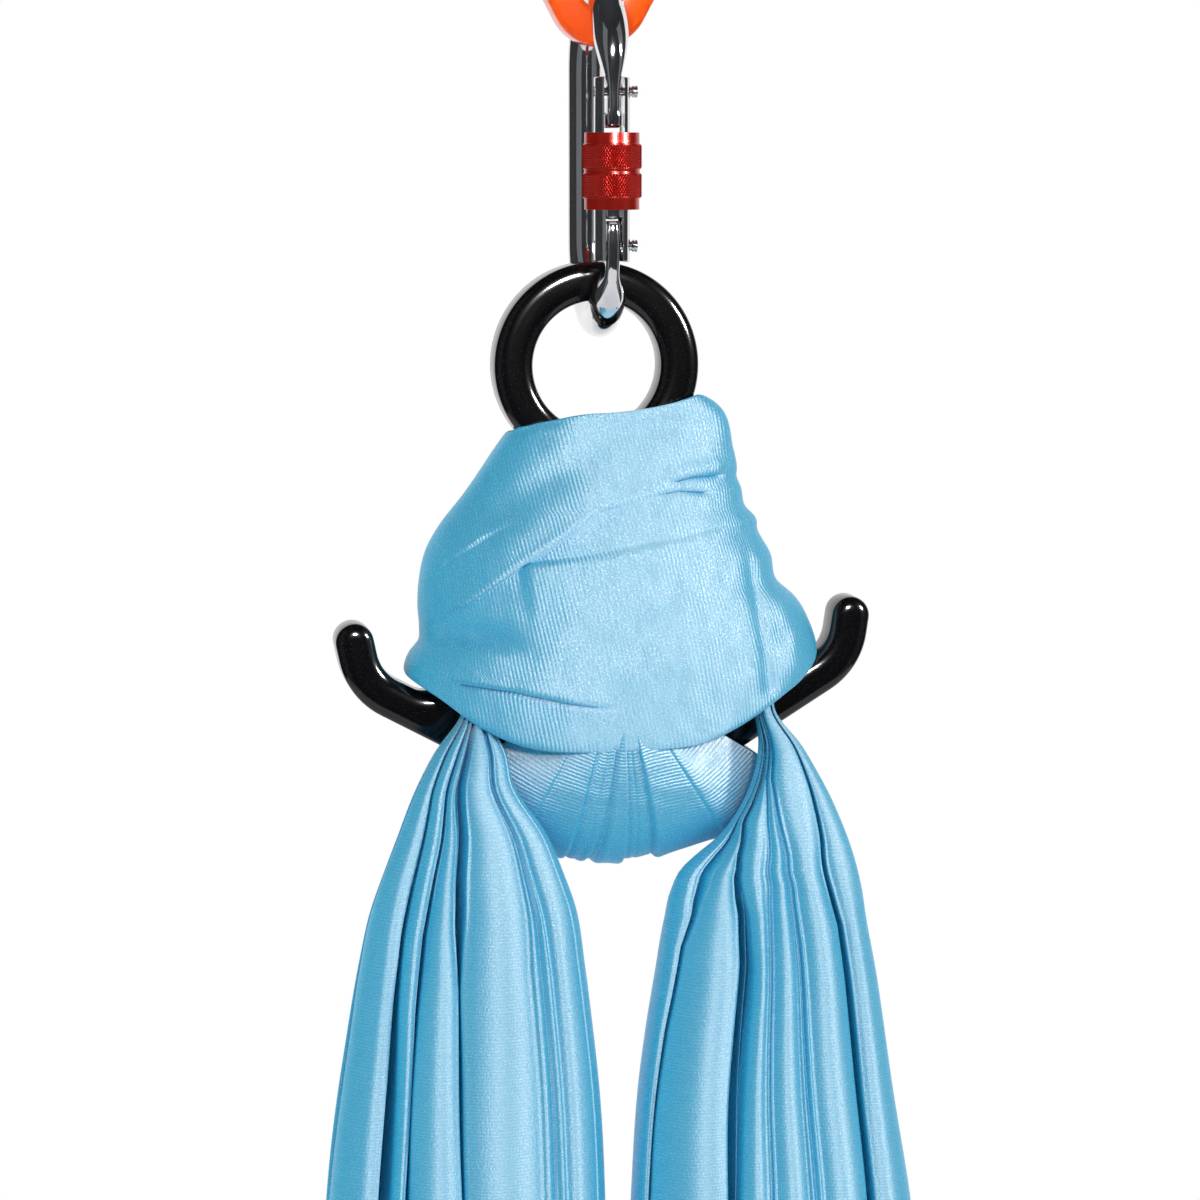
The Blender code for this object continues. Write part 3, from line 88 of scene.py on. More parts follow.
# Name, place, the height that it is aimed at, width, height, watts, and whether it gives gloss
LAMPS = (
    ("key_gloss", KEY_PLACE, -0.35, 0.32, 0.42, 84, True),
    ("front_gloss", (0.12, -2.15, 0.42), -0.35, 0.32, 0.32, 90, True),
    ("key_lamp", KEY_PLACE, -0.35, 0.60, 0.60, 6, False),
    ("fill_lamp", (-2.10, -0.35, -1.30), -0.35, 1.60, 1.60, 8, False),
    ("eye_snoot", (-0.35, -0.95, 0.30), -0.035, 0.10, 0.10, 0.045, False),
)
for name, place, aim_z, width, height, power, gloss in LAMPS:
    lamp = add_object(name, bpy.data.lights.new(name, "AREA"))
    lamp.data.shape = "ELLIPSE"
    lamp.data.size, lamp.data.size_y, lamp.data.energy = width, height, power
    aim(lamp, place, Vector((0, 0, aim_z)) - Vector(place))
    lamp.visible_diffuse, lamp.visible_glossy = not gloss, gloss
bpy.data.lights["eye_snoot"].spread = math.radians(9)

studio = bpy.data.worlds.new("studio")
bpy.context.scene.world = studio
studio.use_nodes = True
sky = studio.node_tree
sky.nodes.clear()


def sky_node(kind, values):
    """A node of the world. Its inputs are constants, or outputs of other nodes."""
    node = sky.nodes.new("ShaderNode" + kind)
    for name, value in values.items():
        if isinstance(value, bpy.types.NodeSocket):
            sky.links.new(value, node.inputs[name])
        else:
            node.inputs[name].default_value = value
    return node


rays = sky_node("LightPath", {}).outputs
seen = sky_node("Math", {0: rays["Is Camera Ray"], 1: rays["Is Transmission Ray"]})
seen_too = sky_node("Math", {0: seen.outputs[0], 1: rays["Is Glossy Ray"]})
seen.operation = seen_too.operation = "MAXIMUM"
room_light = sky_node("Background", {"Color": (0.93, 0.96, 1.0, 1.0), "Strength": 0.76})
white = sky_node("Background", {"Color": (1.0, 1.0, 1.0, 1.0), "Strength": 1.0})
choose = sky_node("MixShader", {"Fac": seen_too.outputs[0], 1: room_light.outputs[0], 2: white.outputs[0]})
sky_node("OutputWorld", {"Surface": choose.outputs[0]})


def put(tree, socket, value):
    """Sets a socket to a constant, or links it to a value."""
    if isinstance(value, Value):
        tree.links.new(value.socket, socket)
    else:
        socket.default_value = value


class Value:
    """One output in a material. Adding to it or multiplying it adds a Math node."""

    def __init__(self, finish, socket):
        self.finish, self.socket = finish, socket

    def __add__(self, other):
        return self.finish.math("ADD", self, other)

    def __mul__(self, other):
        return self.finish.math("MULTIPLY", self, other)


class Finish:
    """A surface finish: one Principled shader, with its constants given by socket name.

    It keeps a slot name, its own or the one given, that nothing uses."""

    def __init__(self, name, constants, slot=None):
        self.slot = slot or name
        self.material = bpy.data.materials.new(name)
        self.material.use_nodes = True
        self.tree = self.material.node_tree
        self.shader = self.tree.nodes["Principled BSDF"]
        for socket, value in constants.items():
            self.shader.inputs[socket].default_value = value

    def node(self, kind, settings, values, output=0):
        """Adds a node of a type, with its settings first and then its sockets. Gives one output."""
        node = self.tree.nodes.new("ShaderNode" + kind)
        for name, value in settings.items():
            setattr(node, name, value)
        for name, value in values.items():
            put(self.tree, node.inputs[name], value)
        return Value(self, node.outputs[output])

    def math(self, operation, first, second=0.0):
        return self.node("Math", {"operation": operation}, {0: first, 1: second})

    def mix(self, share, first, second):
        """Between two colours."""
        return self.node("Mix", {"data_type": "RGBA"}, {0: share, 6: first, 7: second}, 2)

    def place(self, scale=(1.0, 1.0, 1.0)):
        """Object coordinates, scaled along each axis."""
        at = self.node("TexCoord", {}, {}, "Object")
        return self.node("Mapping", {}, {"Vector": at, "Scale": scale})

    def noise(self, at, scale, detail):
        return self.node("TexNoise", {}, {"Vector": at, "Scale": scale, "Detail": detail})

    def between(self, value, low, high, to_low=0.0, to_high=1.0):
        """Stretches a value from one range to another, and holds it there past the ends."""
        return self.node("MapRange", {}, {"Value": value, "From Min": low, "From Max": high,
                                          "To Min": to_low, "To Max": to_high})

    def feed(self, socket, value):
        put(self.tree, self.shader.inputs[socket], value)

    def relief(self, height, depth, strength=1.0):
        """Bumps the surface by a height from 0 to 1 that stands for depth in metres."""
        bump = self.node("Bump", {}, {"Height": height, "Distance": depth, "Strength": strength})
        self.feed("Normal", bump)


def card(name, corners, colour, floor=False):
    """A flat sheet of the studio: the floor, or a card that only reflections show."""
    mesh = bpy.data.meshes.new(name)
    mesh.from_pydata(corners, [], [tuple(range(len(corners)))])
    piece = add_object(name, mesh)
    finish = Finish(name, {"Base Color": colour, "Roughness": 0.9})
    mesh.materials.append(finish.material)
    if not floor:
        piece.visible_camera = piece.visible_diffuse = piece.visible_shadow = False
        piece.visible_transmission = piece.visible_volume_scatter = False
    return finish


FLOOR_R, FLOOR_Z = 3.6, -1.95
FADE_FROM, FADE_TO = 1.2, 3.3
CARD_AWAY, CARD_WIDTH, CARD_FOOT, CARD_TOP = 2.5, 1.62, -1.9, 2.2
CARD_BEARINGS, GREY_BEARINGS = range(-125, 126, 36), (-53, 55)
DARK, GREY = (0.026, 0.027, 0.030, 1.0), (0.20, 0.204, 0.212, 1.0)
CEILING_R = 2.6


def circle_points(radius, z, count):
    """Points of a circle about the hammock's axis."""
    turns = np.linspace(0, 2 * math.pi, count + 1)[:-1]
    return [(radius * math.cos(t), radius * math.sin(t), z) for t in turns]


paper = card("floor", circle_points(FLOOR_R, FLOOR_Z, 96), (0.86, 0.86, 0.87, 1.0), floor=True)
reach = paper.node("VectorMath", {"operation": "LENGTH"}, {0: paper.place((1.0, 1.0, 0.0))}, "Value")
fade = paper.node("MixShader", {}, {
    "Fac": paper.between(reach, FADE_FROM, FADE_TO),
    1: Value(paper, paper.shader.outputs[0]),
    2: paper.node("BsdfTransparent", {}, {}),
})
paper.tree.links.new(fade.socket, paper.tree.nodes["Material Output"].inputs["Surface"])

for number, bearing in enumerate(CARD_BEARINGS, 1):
    a = math.radians(bearing)
    middle = Vector((math.sin(a), -math.cos(a), 0)) * CARD_AWAY
    side = Vector((math.cos(a), math.sin(a), 0)) * CARD_WIDTH / 2
    foot, top = Vector((0, 0, CARD_FOOT)), Vector((0, 0, CARD_TOP))
    card("dark_card_%d" % number,
         [middle - side + foot, middle + side + foot, middle + side + top, middle - side + top],
         GREY if bearing in GREY_BEARINGS else DARK)
card("dark_ceiling", circle_points(CEILING_R, CARD_TOP, 24), DARK)


# Swivel eyes
# Two pear-shaped eyes of orange anodised aluminium, each forged with a round boss and turned on it.
# The upper one hangs on the ceiling hanger's bar, and the lower one holds the carabiner.
MERGE = 2e-6


def pick(piece):
    """Makes a piece the active and the only selected one."""
    bpy.ops.object.select_all(action="DESELECT")
    piece.select_set(True)
    bpy.context.view_layer.objects.active = piece


def new_piece(name):
    """An empty mesh at the origin, open in edit mode."""
    piece = add_object(name, bpy.data.meshes.new(name))
    pick(piece)
    bpy.ops.object.mode_set(mode="EDIT")
    return piece


class Pen:
    """Draws an outline in the open piece, by extruding and spinning one vertex."""

    def __init__(self, start):
        bpy.ops.mesh.select_all(action="DESELECT")
        bpy.ops.mesh.primitive_plane_add(size=0.001, location=start)
        bpy.ops.mesh.merge(type="CENTER")
        self.first = self.at = Vector(start)

    def line(self, to):
        to = Vector(to)
        if (to - self.at).length > 1e-7:
            draw_out(to - self.at)
        self.at = to

    def arc(self, centre, degrees, axis=(0, -1, 0), step=4.0):
        centre = Vector(centre)
        # The operator turns clockwise about its axis
        bpy.ops.mesh.spin(steps=max(2, round(abs(degrees) / step)), angle=-math.radians(degrees),
                          center=centre, axis=axis)
        turn = Matrix.Rotation(math.radians(degrees), 3, Vector(axis))
        self.at = centre + turn @ (self.at - centre)

    def close(self):
        self.line(self.first)


def merge_points(distance=MERGE):
    bpy.ops.mesh.select_all(action="SELECT")
    bpy.ops.mesh.remove_doubles(threshold=distance)


def draw_out(along):
    bpy.ops.mesh.extrude_region_move(TRANSFORM_OT_translate={"value": along})


def close_piece(piece):
    """Merges what meets, turns the faces outwards and leaves edit mode."""
    merge_points()
    bpy.ops.mesh.normals_make_consistent(inside=False)
    bpy.ops.object.mode_set(mode="OBJECT")
    return piece


def apply_modifier(piece, kind, settings):
    modifier = piece.modifiers.new("work", kind)
    for name, value in settings.items():
        setattr(modifier, name, value)
    pick(piece)
    bpy.ops.object.modifier_apply(modifier=modifier.name)


def ease_edges(piece, width, segments=3, angle=35):
    apply_modifier(piece, "BEVEL", {"width": width, "segments": segments, "limit_method": "ANGLE",
                                    "angle_limit": math.radians(angle), "use_clamp_overlap": True})


def cut(piece, cutter, operation="DIFFERENCE"):
    """Cuts one piece with another, or joins them, and clears the tool away."""
    apply_modifier(piece, "BOOLEAN", {"object": cutter, "operation": operation, "solver": "EXACT"})
    bpy.data.objects.remove(cutter)


def shade(piece, angle=35):
    """Smooths the faces that meet at less than an angle."""
    pick(piece)
    bpy.ops.object.shade_smooth_by_angle(angle=math.radians(angle))


def turned(name, profile, centre, axis="Z", steps=96):
    """Lathe work: a section of (radius, height) points, spun round an axis through centre."""
    centre = Vector(centre)
    if axis == "Z":
        points = [centre + Vector((r, 0, h)) for r, h in profile]
    else:
        points = [centre + Vector((h, 0, r)) for r, h in profile]
    piece = new_piece(name)
    pen = Pen(points[0])
    for point in points[1:]:
        pen.line(point)
    if profile[0][0] > 0 or profile[-1][0] > 0:
        pen.close()
    bpy.ops.mesh.select_all(action="SELECT")
    bpy.ops.mesh.spin(steps=steps, angle=2 * math.pi, center=centre,
                      axis=(0, 0, 1) if axis == "Z" else (1, 0, 0))
    return close_piece(piece)


def cylinder(sides, radius, depth, place, rotation=(0, 0, 0)):
    bpy.ops.object.select_all(action="DESELECT")
    bpy.ops.mesh.primitive_cylinder_add(vertices=sides, radius=radius, depth=depth, location=place,
                                        rotation=rotation)
    return bpy.context.object


def drill(piece, radius, low, high, centre=(0, 0), axis="Z", sides=96):
    """A plain bore along an axis, with its ends given along it."""
    middle = (low + high) / 2
    if axis == "Z":
        cut(piece, cylinder(sides, radius, high - low, (centre[0], centre[1], middle)))
    else:
        cut(piece, cylinder(sides, radius, high - low, (middle, centre[0], centre[1]), (0, math.pi / 2, 0)))


def stand_for(piece, node, body, finish):
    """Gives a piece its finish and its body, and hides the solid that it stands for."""
    piece.data.materials.clear()
    piece.data.materials.append(finish.material)
    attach(piece, body)
    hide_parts(node)


SWIVEL_MIDDLE = -0.0428
EYE_HALF_THICK, EYE_EDGE, BOSS_EDGE = 0.0055, 0.0016, 0.0010
TIP_Z, TIP_R, SEAT_R = 0.0033, 0.0140, 0.0065
WIDE_Z, WIDE_R, WINDOW_R = -0.0137, 0.0220, 0.0125
BOSS_R, BOSS_FROM, BOSS_TO = 0.0125, -0.0240, -0.0420
AXLE_BORE_R, BUSH_BORE_R, RACE_SEAT_R, HEAD_SEAT_R = 0.0050, 0.0067, 0.0103, 0.0078


def draw_pear(y, middle, flip, tip_z, tip_r, wide_z, wide_r):
    """The outline round two circles, in the plane y, drawn about the eye's own seat."""
    rise = math.asin((wide_r - tip_r) / (tip_z - wide_z))

    def at(z, r, angle):
        return Vector((r * math.cos(angle), y, middle + flip * (z + r * math.sin(angle))))

    tip, wide = Vector((0, y, middle + flip * tip_z)), Vector((0, y, middle + flip * wide_z))
    pen = Pen(at(tip_z, tip_r, rise))
    pen.arc(tip, flip * math.degrees(math.pi - 2 * rise))
    pen.line(at(wide_z, wide_r, math.pi - rise))
    pen.arc(wide, flip * math.degrees(math.pi + 2 * rise))
    pen.close()


def forge_eye(name, middle, flip):
    """A pear-shaped loop with rounded edges and its boss. flip is -1 for the one that hangs down."""
    piece = new_piece(name)
    draw_pear(-EYE_HALF_THICK, middle, flip, TIP_Z, TIP_R, WIDE_Z, WIDE_R)
    draw_pear(-EYE_HALF_THICK, middle, flip, 0.0, SEAT_R, WIDE_Z, WINDOW_R)
    merge_points()
    bpy.ops.mesh.bridge_edge_loops()
    bpy.ops.mesh.select_all(action="SELECT")
    draw_out((0, 2 * EYE_HALF_THICK, 0))
    close_piece(piece)
    ease_edges(piece, EYE_EDGE, 6)
    high, low = flip * BOSS_FROM, flip * BOSS_TO
    boss = turned(name + "_boss", [(0, low), (BOSS_R, low), (BOSS_R, high), (0, high)], (0, 0, middle))
    ease_edges(boss, BOSS_EDGE, 4)
    cut(piece, boss, "UNION")
    return piece


orange = Finish("orange_anodised", {"Specular IOR Level": 0.3, "Coat Weight": 0.25, "Coat Roughness": 0.05})
cloud = orange.noise(orange.place(), 60.0, 3.0)
grain = orange.noise(orange.place((1.0, 1.0, 0.15)), 5200.0, 2.0)
orange.feed("Base Color", orange.mix(orange.between(cloud, 0.3, 0.7), (0.86, 0.072, 0.002, 1),
                                     (0.99, 0.110, 0.004, 1)))
orange.feed("Roughness", orange.between(grain, 0.2, 0.8, 0.10, 0.16))
orange.relief(grain, 0.000012)

for name, node, body, middle, flip, bores in (
    ("eye_on_hanger", "swivel_upper_eye", "swivel_top", 0.0, 1,
     ((BUSH_BORE_R, -0.046, -0.020), (RACE_SEAT_R, -0.0280, -0.0196))),
    ("eye_for_carabiner", "swivel_lower_eye", "swivel_bottom", 2 * SWIVEL_MIDDLE, -1,
     ((AXLE_BORE_R, -0.066, -0.040), (HEAD_SEAT_R, -0.066, -0.0596))),
):
    eye = forge_eye(name, middle, flip)
    for radius, low, high in bores:
        drill(eye, radius, low, high)
    ease_edges(eye, 0.0002, 2, 60)
    shade(eye)
    stand_for(eye, node, body, orange)


# Bearing, bush and washer
# A plain bronze bush lines the upper boss. Above it lies a thrust bearing of two hardened races and
# eight balls in a bronze cage, and a white nylon washer keeps the two bosses apart.
def metal(name, colour, roughness, scratch):
    """A bright turned metal with fine tool marks round it and small smudges."""
    finish = Finish(name, {"Metallic": 1.0})
    marks = finish.noise(finish.place((1.0, 1.0, 14.0)), 900.0, 3.0)
    smudge = finish.noise(finish.place(), 240.0, 2.0)
    dull = tuple(0.82 * c for c in colour)
    finish.feed("Base Color", finish.mix(finish.between(smudge, 0.35, 0.75), (*colour, 1), (*dull, 1)))
    finish.feed("Roughness", finish.between(marks + smudge, 0.6, 1.4, roughness, roughness + 0.14))
    finish.relief(marks, scratch)
    return finish


bright = metal("bright_steel", (0.70, 0.70, 0.71), 0.16, 0.000006)
bronze = metal("bronze", (0.62, 0.39, 0.17), 0.28, 0.000008)
nylon = Finish("white_nylon", {"IOR": 1.53})
mottle = nylon.noise(nylon.place(), 420.0, 4.0)
nylon.feed("Base Color", nylon.mix(mottle, (0.74, 0.735, 0.70, 1), (0.84, 0.835, 0.81, 1)))
nylon.feed("Roughness", nylon.between(mottle, 0.3, 0.7, 0.38, 0.52))
nylon.relief(mottle, 0.00001)


def ring(name, inner, outer, low, high, edge):
    """A plain turned ring about the swivel's axis, with broken edges."""
    piece = turned(name, [(inner, low), (outer, low), (outer, high), (inner, high)], (0, 0, 0))
    ease_edges(piece, edge, 3)
    shade(piece)
    return piece


for name, node, body, finish, inner, outer, low, high, edge in (
    ("washer_between_bosses", "swivel_washer", "swivel_bottom", nylon,
     0.0050, 0.0110, -0.0433, -0.0423, 0.00025),
    ("bush", "axle_bush", "swivel_top", bronze,
     0.0050, 0.0064, -0.0393, -0.0283, 0.0002),
    ("race_low", "bearing_race_lower", "swivel_top", bright,
     0.0067, 0.0100, -0.0277, -0.0257, 0.0003),
    ("race_high", "bearing_race_upper", "swivel_bottom", bright,
     0.0050, 0.0100, -0.0219, -0.0199, 0.0003),
):
    stand_for(ring(name, inner, outer, low, high, edge), node, body, finish)
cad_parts["bearing_cage"].material_slots[0].material = bronze.material

BALL_R, BALLS = 0.0016, 8
bpy.ops.object.select_all(action="DESELECT")
bpy.ops.mesh.primitive_uv_sphere_add(segments=32, ring_count=16, radius=BALL_R, location=(0, 0, 0))
first_ball = bpy.context.object
shade(first_ball, 60)
balls = [first_ball] + [add_object("ball", first_ball.data.copy()) for number in range(1, BALLS)]
for number, ball in enumerate(balls, 1):
    ball.name = ball.data.name = "ball_%d" % number
    node = "bearing_ball_%d" % number
    low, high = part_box(node)
    ball.data.transform(Matrix.Translation((low + high) / 2))
    stand_for(ball, node, "bearing", bright)

# Axle, nut and split pin
# The steel axle has a cap head with a hexagon socket, sunk in the lower eye. It runs up through both
# bosses and the bearing to a nut, and a split pin locks the nut.
HEAD_LOW, HEAD_HIGH, AXLE_TOP = -0.0654, -0.0599, -0.0108
HEAD_R, AXLE_R, SOCKET_R, SOCKET_DEPTH = 0.0075, 0.0047, 0.0034, 0.0028
NUT_MIDDLE, NUT_HIGH, NUT_R, NUT_BORE_R = -0.0166, 0.0060, 0.0086, 0.0050
SPLIT_PIN_Z, WIRE_R = -0.0122, 0.00033
axle = turned("axle", [(0, HEAD_LOW), (HEAD_R, HEAD_LOW), (HEAD_R, HEAD_HIGH), (AXLE_R, HEAD_HIGH),
                       (AXLE_R, AXLE_TOP), (0, AXLE_TOP)], (0, 0, 0))
cut(axle, cylinder(6, SOCKET_R, 2 * SOCKET_DEPTH, (0, 0, HEAD_LOW)))
drill(axle, 0.0010, -0.01, 0.01, (0, SPLIT_PIN_Z), "X", 40)
ease_edges(axle, 0.0004, 3)
shade(axle)
stand_for(axle, "swivel_axle", "swivel_bottom", bright)

nut = cylinder(6, NUT_R, NUT_HIGH, (0, 0, NUT_MIDDLE), (0, 0, math.radians(30)))
nut.name = "axle_nut_hexagon"
bpy.ops.object.transform_apply(location=True, rotation=True, scale=True)
crown = turned("nut_crown", [(0, -0.0201), (0.0073, -0.0201), (0.0093, -0.0190), (0.0093, -0.0142),
                             (0.0073, -0.0131), (0, -0.0131)], (0, 0, 0))
cut(nut, crown, "INTERSECT")
drill(nut, NUT_BORE_R, -0.03, 0.0)
ease_edges(nut, 0.00025, 2)
shade(nut)
stand_for(nut, "axle_nut", "swivel_bottom", bright)

# One wire, bent double: an eye at one end and two legs, spread apart, at the other
curve = bpy.data.curves.new("split_pin", "CURVE")
curve.dimensions = "3D"
curve.bevel_depth = WIRE_R
curve.bevel_resolution = 4
curve.use_fill_caps = True
spline = curve.splines.new("POLY")
run = [(0.0071, 0.0016), (0.0062, 0.0006), (0.0052, 0.00036), (0.002, 0.00036), (-0.002, 0.00036),
       (-0.0048, 0.00036), (-0.0056, 0.0007), (-0.0064, 0.0009), (-0.0071, 0.0005), (-0.0072, 0.0)]
run += [(x, -z) for x, z in reversed(run[:-1])]
spline.points.add(len(run) - 1)
for point, (x, z) in zip(spline.points, run):
    point.co = (x, 0.0, SPLIT_PIN_Z + z, 1.0)
split_pin = add_object("split_pin", curve)
pick(split_pin)
bpy.ops.object.convert(target="MESH")
split_pin = bpy.context.object
shade(split_pin, 60)
stand_for(split_pin, "axle_cotter_pin", "swivel_bottom", bright)

# Carabiner frame
# One chromed steel bar, bent to a long loop. Its nose narrows to a flat tongue with a hook for the
# latch pin, and its other end narrows to the tongue that the gate is hinged on.
LOOP_R, BAR_R = 0.0230, 0.0050
GATE_Y = -LOOP_R
TOP_BEND, LOW_BEND = -0.10933, -0.15733
LATCH, HINGE, PIN_HOLE_R = -0.11583, -0.15863, 0.0015
NOSE, HINGE_TONGUE = (0.0018, 0.0039), (0.0021, 0.0034)
WIDEN_FROM, WIDEN_TO = -0.1168, TOP_BEND + 0.0104
HOOK_R, HOOK_DEPTH, HOOK_X = 0.0018, 0.008, 0.006
BEND_STEPS = 56


def skin(name, rings):
    """A skin over rings of points, each ring closed on itself, with a cap at both ends."""
    rings = np.array(rings, dtype=float)
    rows, count = rings.shape[:2]
    i, j = np.meshgrid(np.arange(rows - 1), np.arange(count), indexing="ij")
    near, after = i * count, (j + 1) % count
    faces = np.stack((near + j, near + after, near + count + after, near + count + j), axis=-1)
    caps = [list(range(count)), list(range((rows - 1) * count, rows * count))]
    mesh = bpy.data.meshes.new(name)
    mesh.from_pydata(rings.reshape(-1, 3), [], faces.reshape(-1, 4).tolist() + caps)
    piece = add_object(name, mesh)
    pick(piece)
    bpy.ops.object.mode_set(mode="EDIT")
    return close_piece(piece)


def ease(low, high, share):
    """Goes gently from one value to another."""
    share = min(1.0, max(0.0, share))
    return low + (high - low) * share * share * (3 - 2 * share)


def bar_section(y, z, toward, half_x, half_n, roundness, sides=56):
    """A section of the bar. toward is the direction in the loop's plane in which it is half_n deep."""
    ring = []
    for side in range(sides):
        c, s = math.cos(2 * math.pi * side / sides), math.sin(2 * math.pi * side / sides)
        across = half_x * math.copysign(abs(c) ** (2 / roundness), c)
        deep = half_n * math.copysign(abs(s) ** (2 / roundness), s)
        ring.append((across, y + toward[0] * deep, z + toward[1] * deep))
    return ring


def blended(y, z, toward, tongue, share):
    """A section between a flat tongue, at share 0, and the round bar, at share 1."""
    return bar_section(y, z, toward, ease(tongue[0], BAR_R, share), ease(tongue[1], BAR_R, share),
                       ease(4.0, 2.0, share))


def on_bend(angle, bend_z, tongue, share):
    """A section on one of the two round ends of the loop, at an angle from the spine's side."""
    y, z = LOOP_R * math.cos(angle), bend_z + LOOP_R * math.sin(angle)
    return blended(y, z, (-math.cos(angle), -math.sin(angle)), tongue, share)


sections = []
for z, half_x, half_n, roundness in (
    (-0.12593, 0.0016, 0.0030, 3.0), (-0.12560, 0.0021, 0.0036, 3.4), (-0.12500, 0.0024, 0.0039, 4.0),
    (-0.12300, 0.0024, 0.0039, 4.0), (-0.12215, 0.0024, 0.0039, 4.0), (-0.12165, 0.0018, 0.0039, 4.0),
    (-0.12000, 0.0018, 0.0039, 4.0), (-0.11800, 0.0018, 0.0039, 4.0),
):
    sections.append(bar_section(GATE_Y, z, (1, 0), half_x, half_n, roundness))
for z in np.linspace(WIDEN_FROM, TOP_BEND, 9):
    sections.append(blended(GATE_Y, z, (1, 0), NOSE, (z - WIDEN_FROM) / (WIDEN_TO - WIDEN_FROM)))
for step in range(1, BEND_STEPS + 1):
    angle = math.pi * (1 - step / BEND_STEPS)
    rise = TOP_BEND + LOOP_R * math.sin(angle) - WIDEN_FROM
    share = rise / (WIDEN_TO - WIDEN_FROM) if LOOP_R * math.cos(angle) < 0 else 1.0
    sections.append(on_bend(angle, TOP_BEND, NOSE, share))
for z in np.linspace(TOP_BEND, LOW_BEND, 7)[1:-1]:
    sections.append(bar_section(LOOP_R, z, (-1, 0), BAR_R, BAR_R, 2.0))
for step in range(BEND_STEPS + 1):
    turn = 180 * step / BEND_STEPS
    sections.append(on_bend(-math.radians(turn), LOW_BEND, HINGE_TONGUE, (160 - turn) / 25))
for rise, half_x, half_n in (
    (0.0025, 0.0021, 0.0034), (0.0043, 0.0021, 0.0033), (0.0052, 0.0020, 0.0030), (0.0057, 0.0016, 0.0024),
):
    sections.append(bar_section(GATE_Y, LOW_BEND + rise, (1, 0), half_x, half_n, 3.0))
bar = skin("carabiner_bar", sections)
notch = new_piece("notch")
pen = Pen((-HOOK_X, GATE_Y, LATCH + HOOK_R))
pen.arc((-HOOK_X, GATE_Y, LATCH), 180, axis=(1, 0, 0), step=12)
pen.line((-HOOK_X, GATE_Y + HOOK_DEPTH, LATCH - HOOK_R))
pen.line((-HOOK_X, GATE_Y + HOOK_DEPTH, LATCH + HOOK_R))
pen.close()
merge_points()
bpy.ops.mesh.edge_face_add()
draw_out((2 * HOOK_X, 0, 0))
cut(bar, close_piece(notch))
drill(bar, PIN_HOLE_R, -0.008, 0.008, (GATE_Y, HINGE), "X", 40)
ease_edges(bar, 0.00035, 3, 40)
shade(bar, 40)

chrome = Finish("chromed_steel", {"Metallic": 1.0})
haze = chrome.noise(chrome.place(), 130.0, 3.0)
scuffs = chrome.noise(chrome.place((1.0, 1.0, 0.12)), 1500.0, 2.0)
chrome.feed("Base Color", chrome.mix(haze, (0.70, 0.70, 0.715, 1), (0.82, 0.82, 0.83, 1)))
chrome.feed("Roughness", chrome.between(haze + scuffs * 0.5, 0.4, 1.2, 0.035, 0.10))
chrome.relief(haze + scuffs * 0.02, 0.00012, 0.35)
stand_for(bar, "carabiner_frame", "carabiner", chrome)

# Gate
# A chromed tube with a slot for the nose at its top and one for the hinge tongue at its foot. The
# latch pin, which the nose hooks on, and the hinge pin are pressed through it.
GATE_LOW, GATE_HIGH, GATE_R, GATE_BORE_R = -0.16303, -0.11173, 0.0051, 0.0032
# Half width, low end and high end of the two slots
NOSE_SLOT, HINGE_SLOT, THROUGH = (0.0029, -0.12923, -0.108), (0.0025, -0.170, -0.15043), 0.008
gate = turned("gate_tube", [(0, GATE_LOW), (GATE_R, GATE_LOW), (GATE_R, GATE_HIGH), (0, GATE_HIGH)],
              (0, GATE_Y, 0))
ease_edges(gate, 0.0005, 4)
drill(gate, GATE_BORE_R, -0.170, -0.13373, (0, GATE_Y))


def saw(piece, low, high):
    """A straight cut between two corners."""
    bpy.ops.object.select_all(action="DESELECT")
    middle = [(a + b) / 2 for a, b in zip(low, high)]
    bpy.ops.mesh.primitive_cube_add(size=1.0, location=middle)
    cutter = bpy.context.object
    cutter.scale = [b - a for a, b in zip(low, high)]
    bpy.ops.object.transform_apply(location=True, rotation=True, scale=True)
    cut(piece, cutter)


for half, low, high in (NOSE_SLOT, HINGE_SLOT):
    saw(gate, (-half, GATE_Y - THROUGH, low), (half, GATE_Y + THROUGH, high))
for z in (LATCH, HINGE):
    drill(gate, PIN_HOLE_R, -THROUGH, THROUGH, (GATE_Y, z), "X", 40)
ease_edges(gate, 0.0002, 2, 50)
shade(gate, 40)
stand_for(gate, "carabiner_gate", "gate", chrome)

for name, node, body, z in (
    ("latch_pin", "gate_latch_pin", "gate", LATCH),
    ("hinge_pin", "gate_hinge_pin", "carabiner", HINGE),
):
    pin = turned(name, [
        (0, -0.0046), (0.00045, -0.0046), (0.00055, -0.0048), (0.0012, -0.0048), (0.0012, 0.0054),
        (0.0015, 0.0057), (0.0017, 0.0060), (0.0017, 0.0062), (0.00135, 0.0063), (0.00135, 0.0065),
        (0.0017, 0.0066), (0.0017, 0.0071), (0.0008, 0.0071), (0.0006, 0.0068), (0, 0.0068),
    ], (0, GATE_Y, z), "X", 48)
    ease_edges(pin, 0.0001, 2, 30)
    shade(pin, 50)
    stand_for(pin, node, body, chrome)

# Plunger and spring
# A small domed plunger rests on the hinge tongue, and the coil spring above it, in the tube, shuts
# the gate. The coil is wound from round wire, seven turns, and shortens as the plunger comes up.
plunger = turned("plunger", [
    (0, -0.15133), (0.0012, -0.15128), (0.0021, -0.15103), (0.0027, -0.15058), (0.0029, -0.15010),
    (0.0029, -0.14950), (0.0026, -0.14935), (0.0026, -0.14905), (0.0029, -0.14890), (0.0029, -0.14633),
    (0, -0.14633),
], (0, GATE_Y, 0), steps=64)
ease_edges(plunger, 0.0001, 2, 40)
shade(plunger, 50)
stand_for(plunger, "gate_plunger", "plunger", bright)

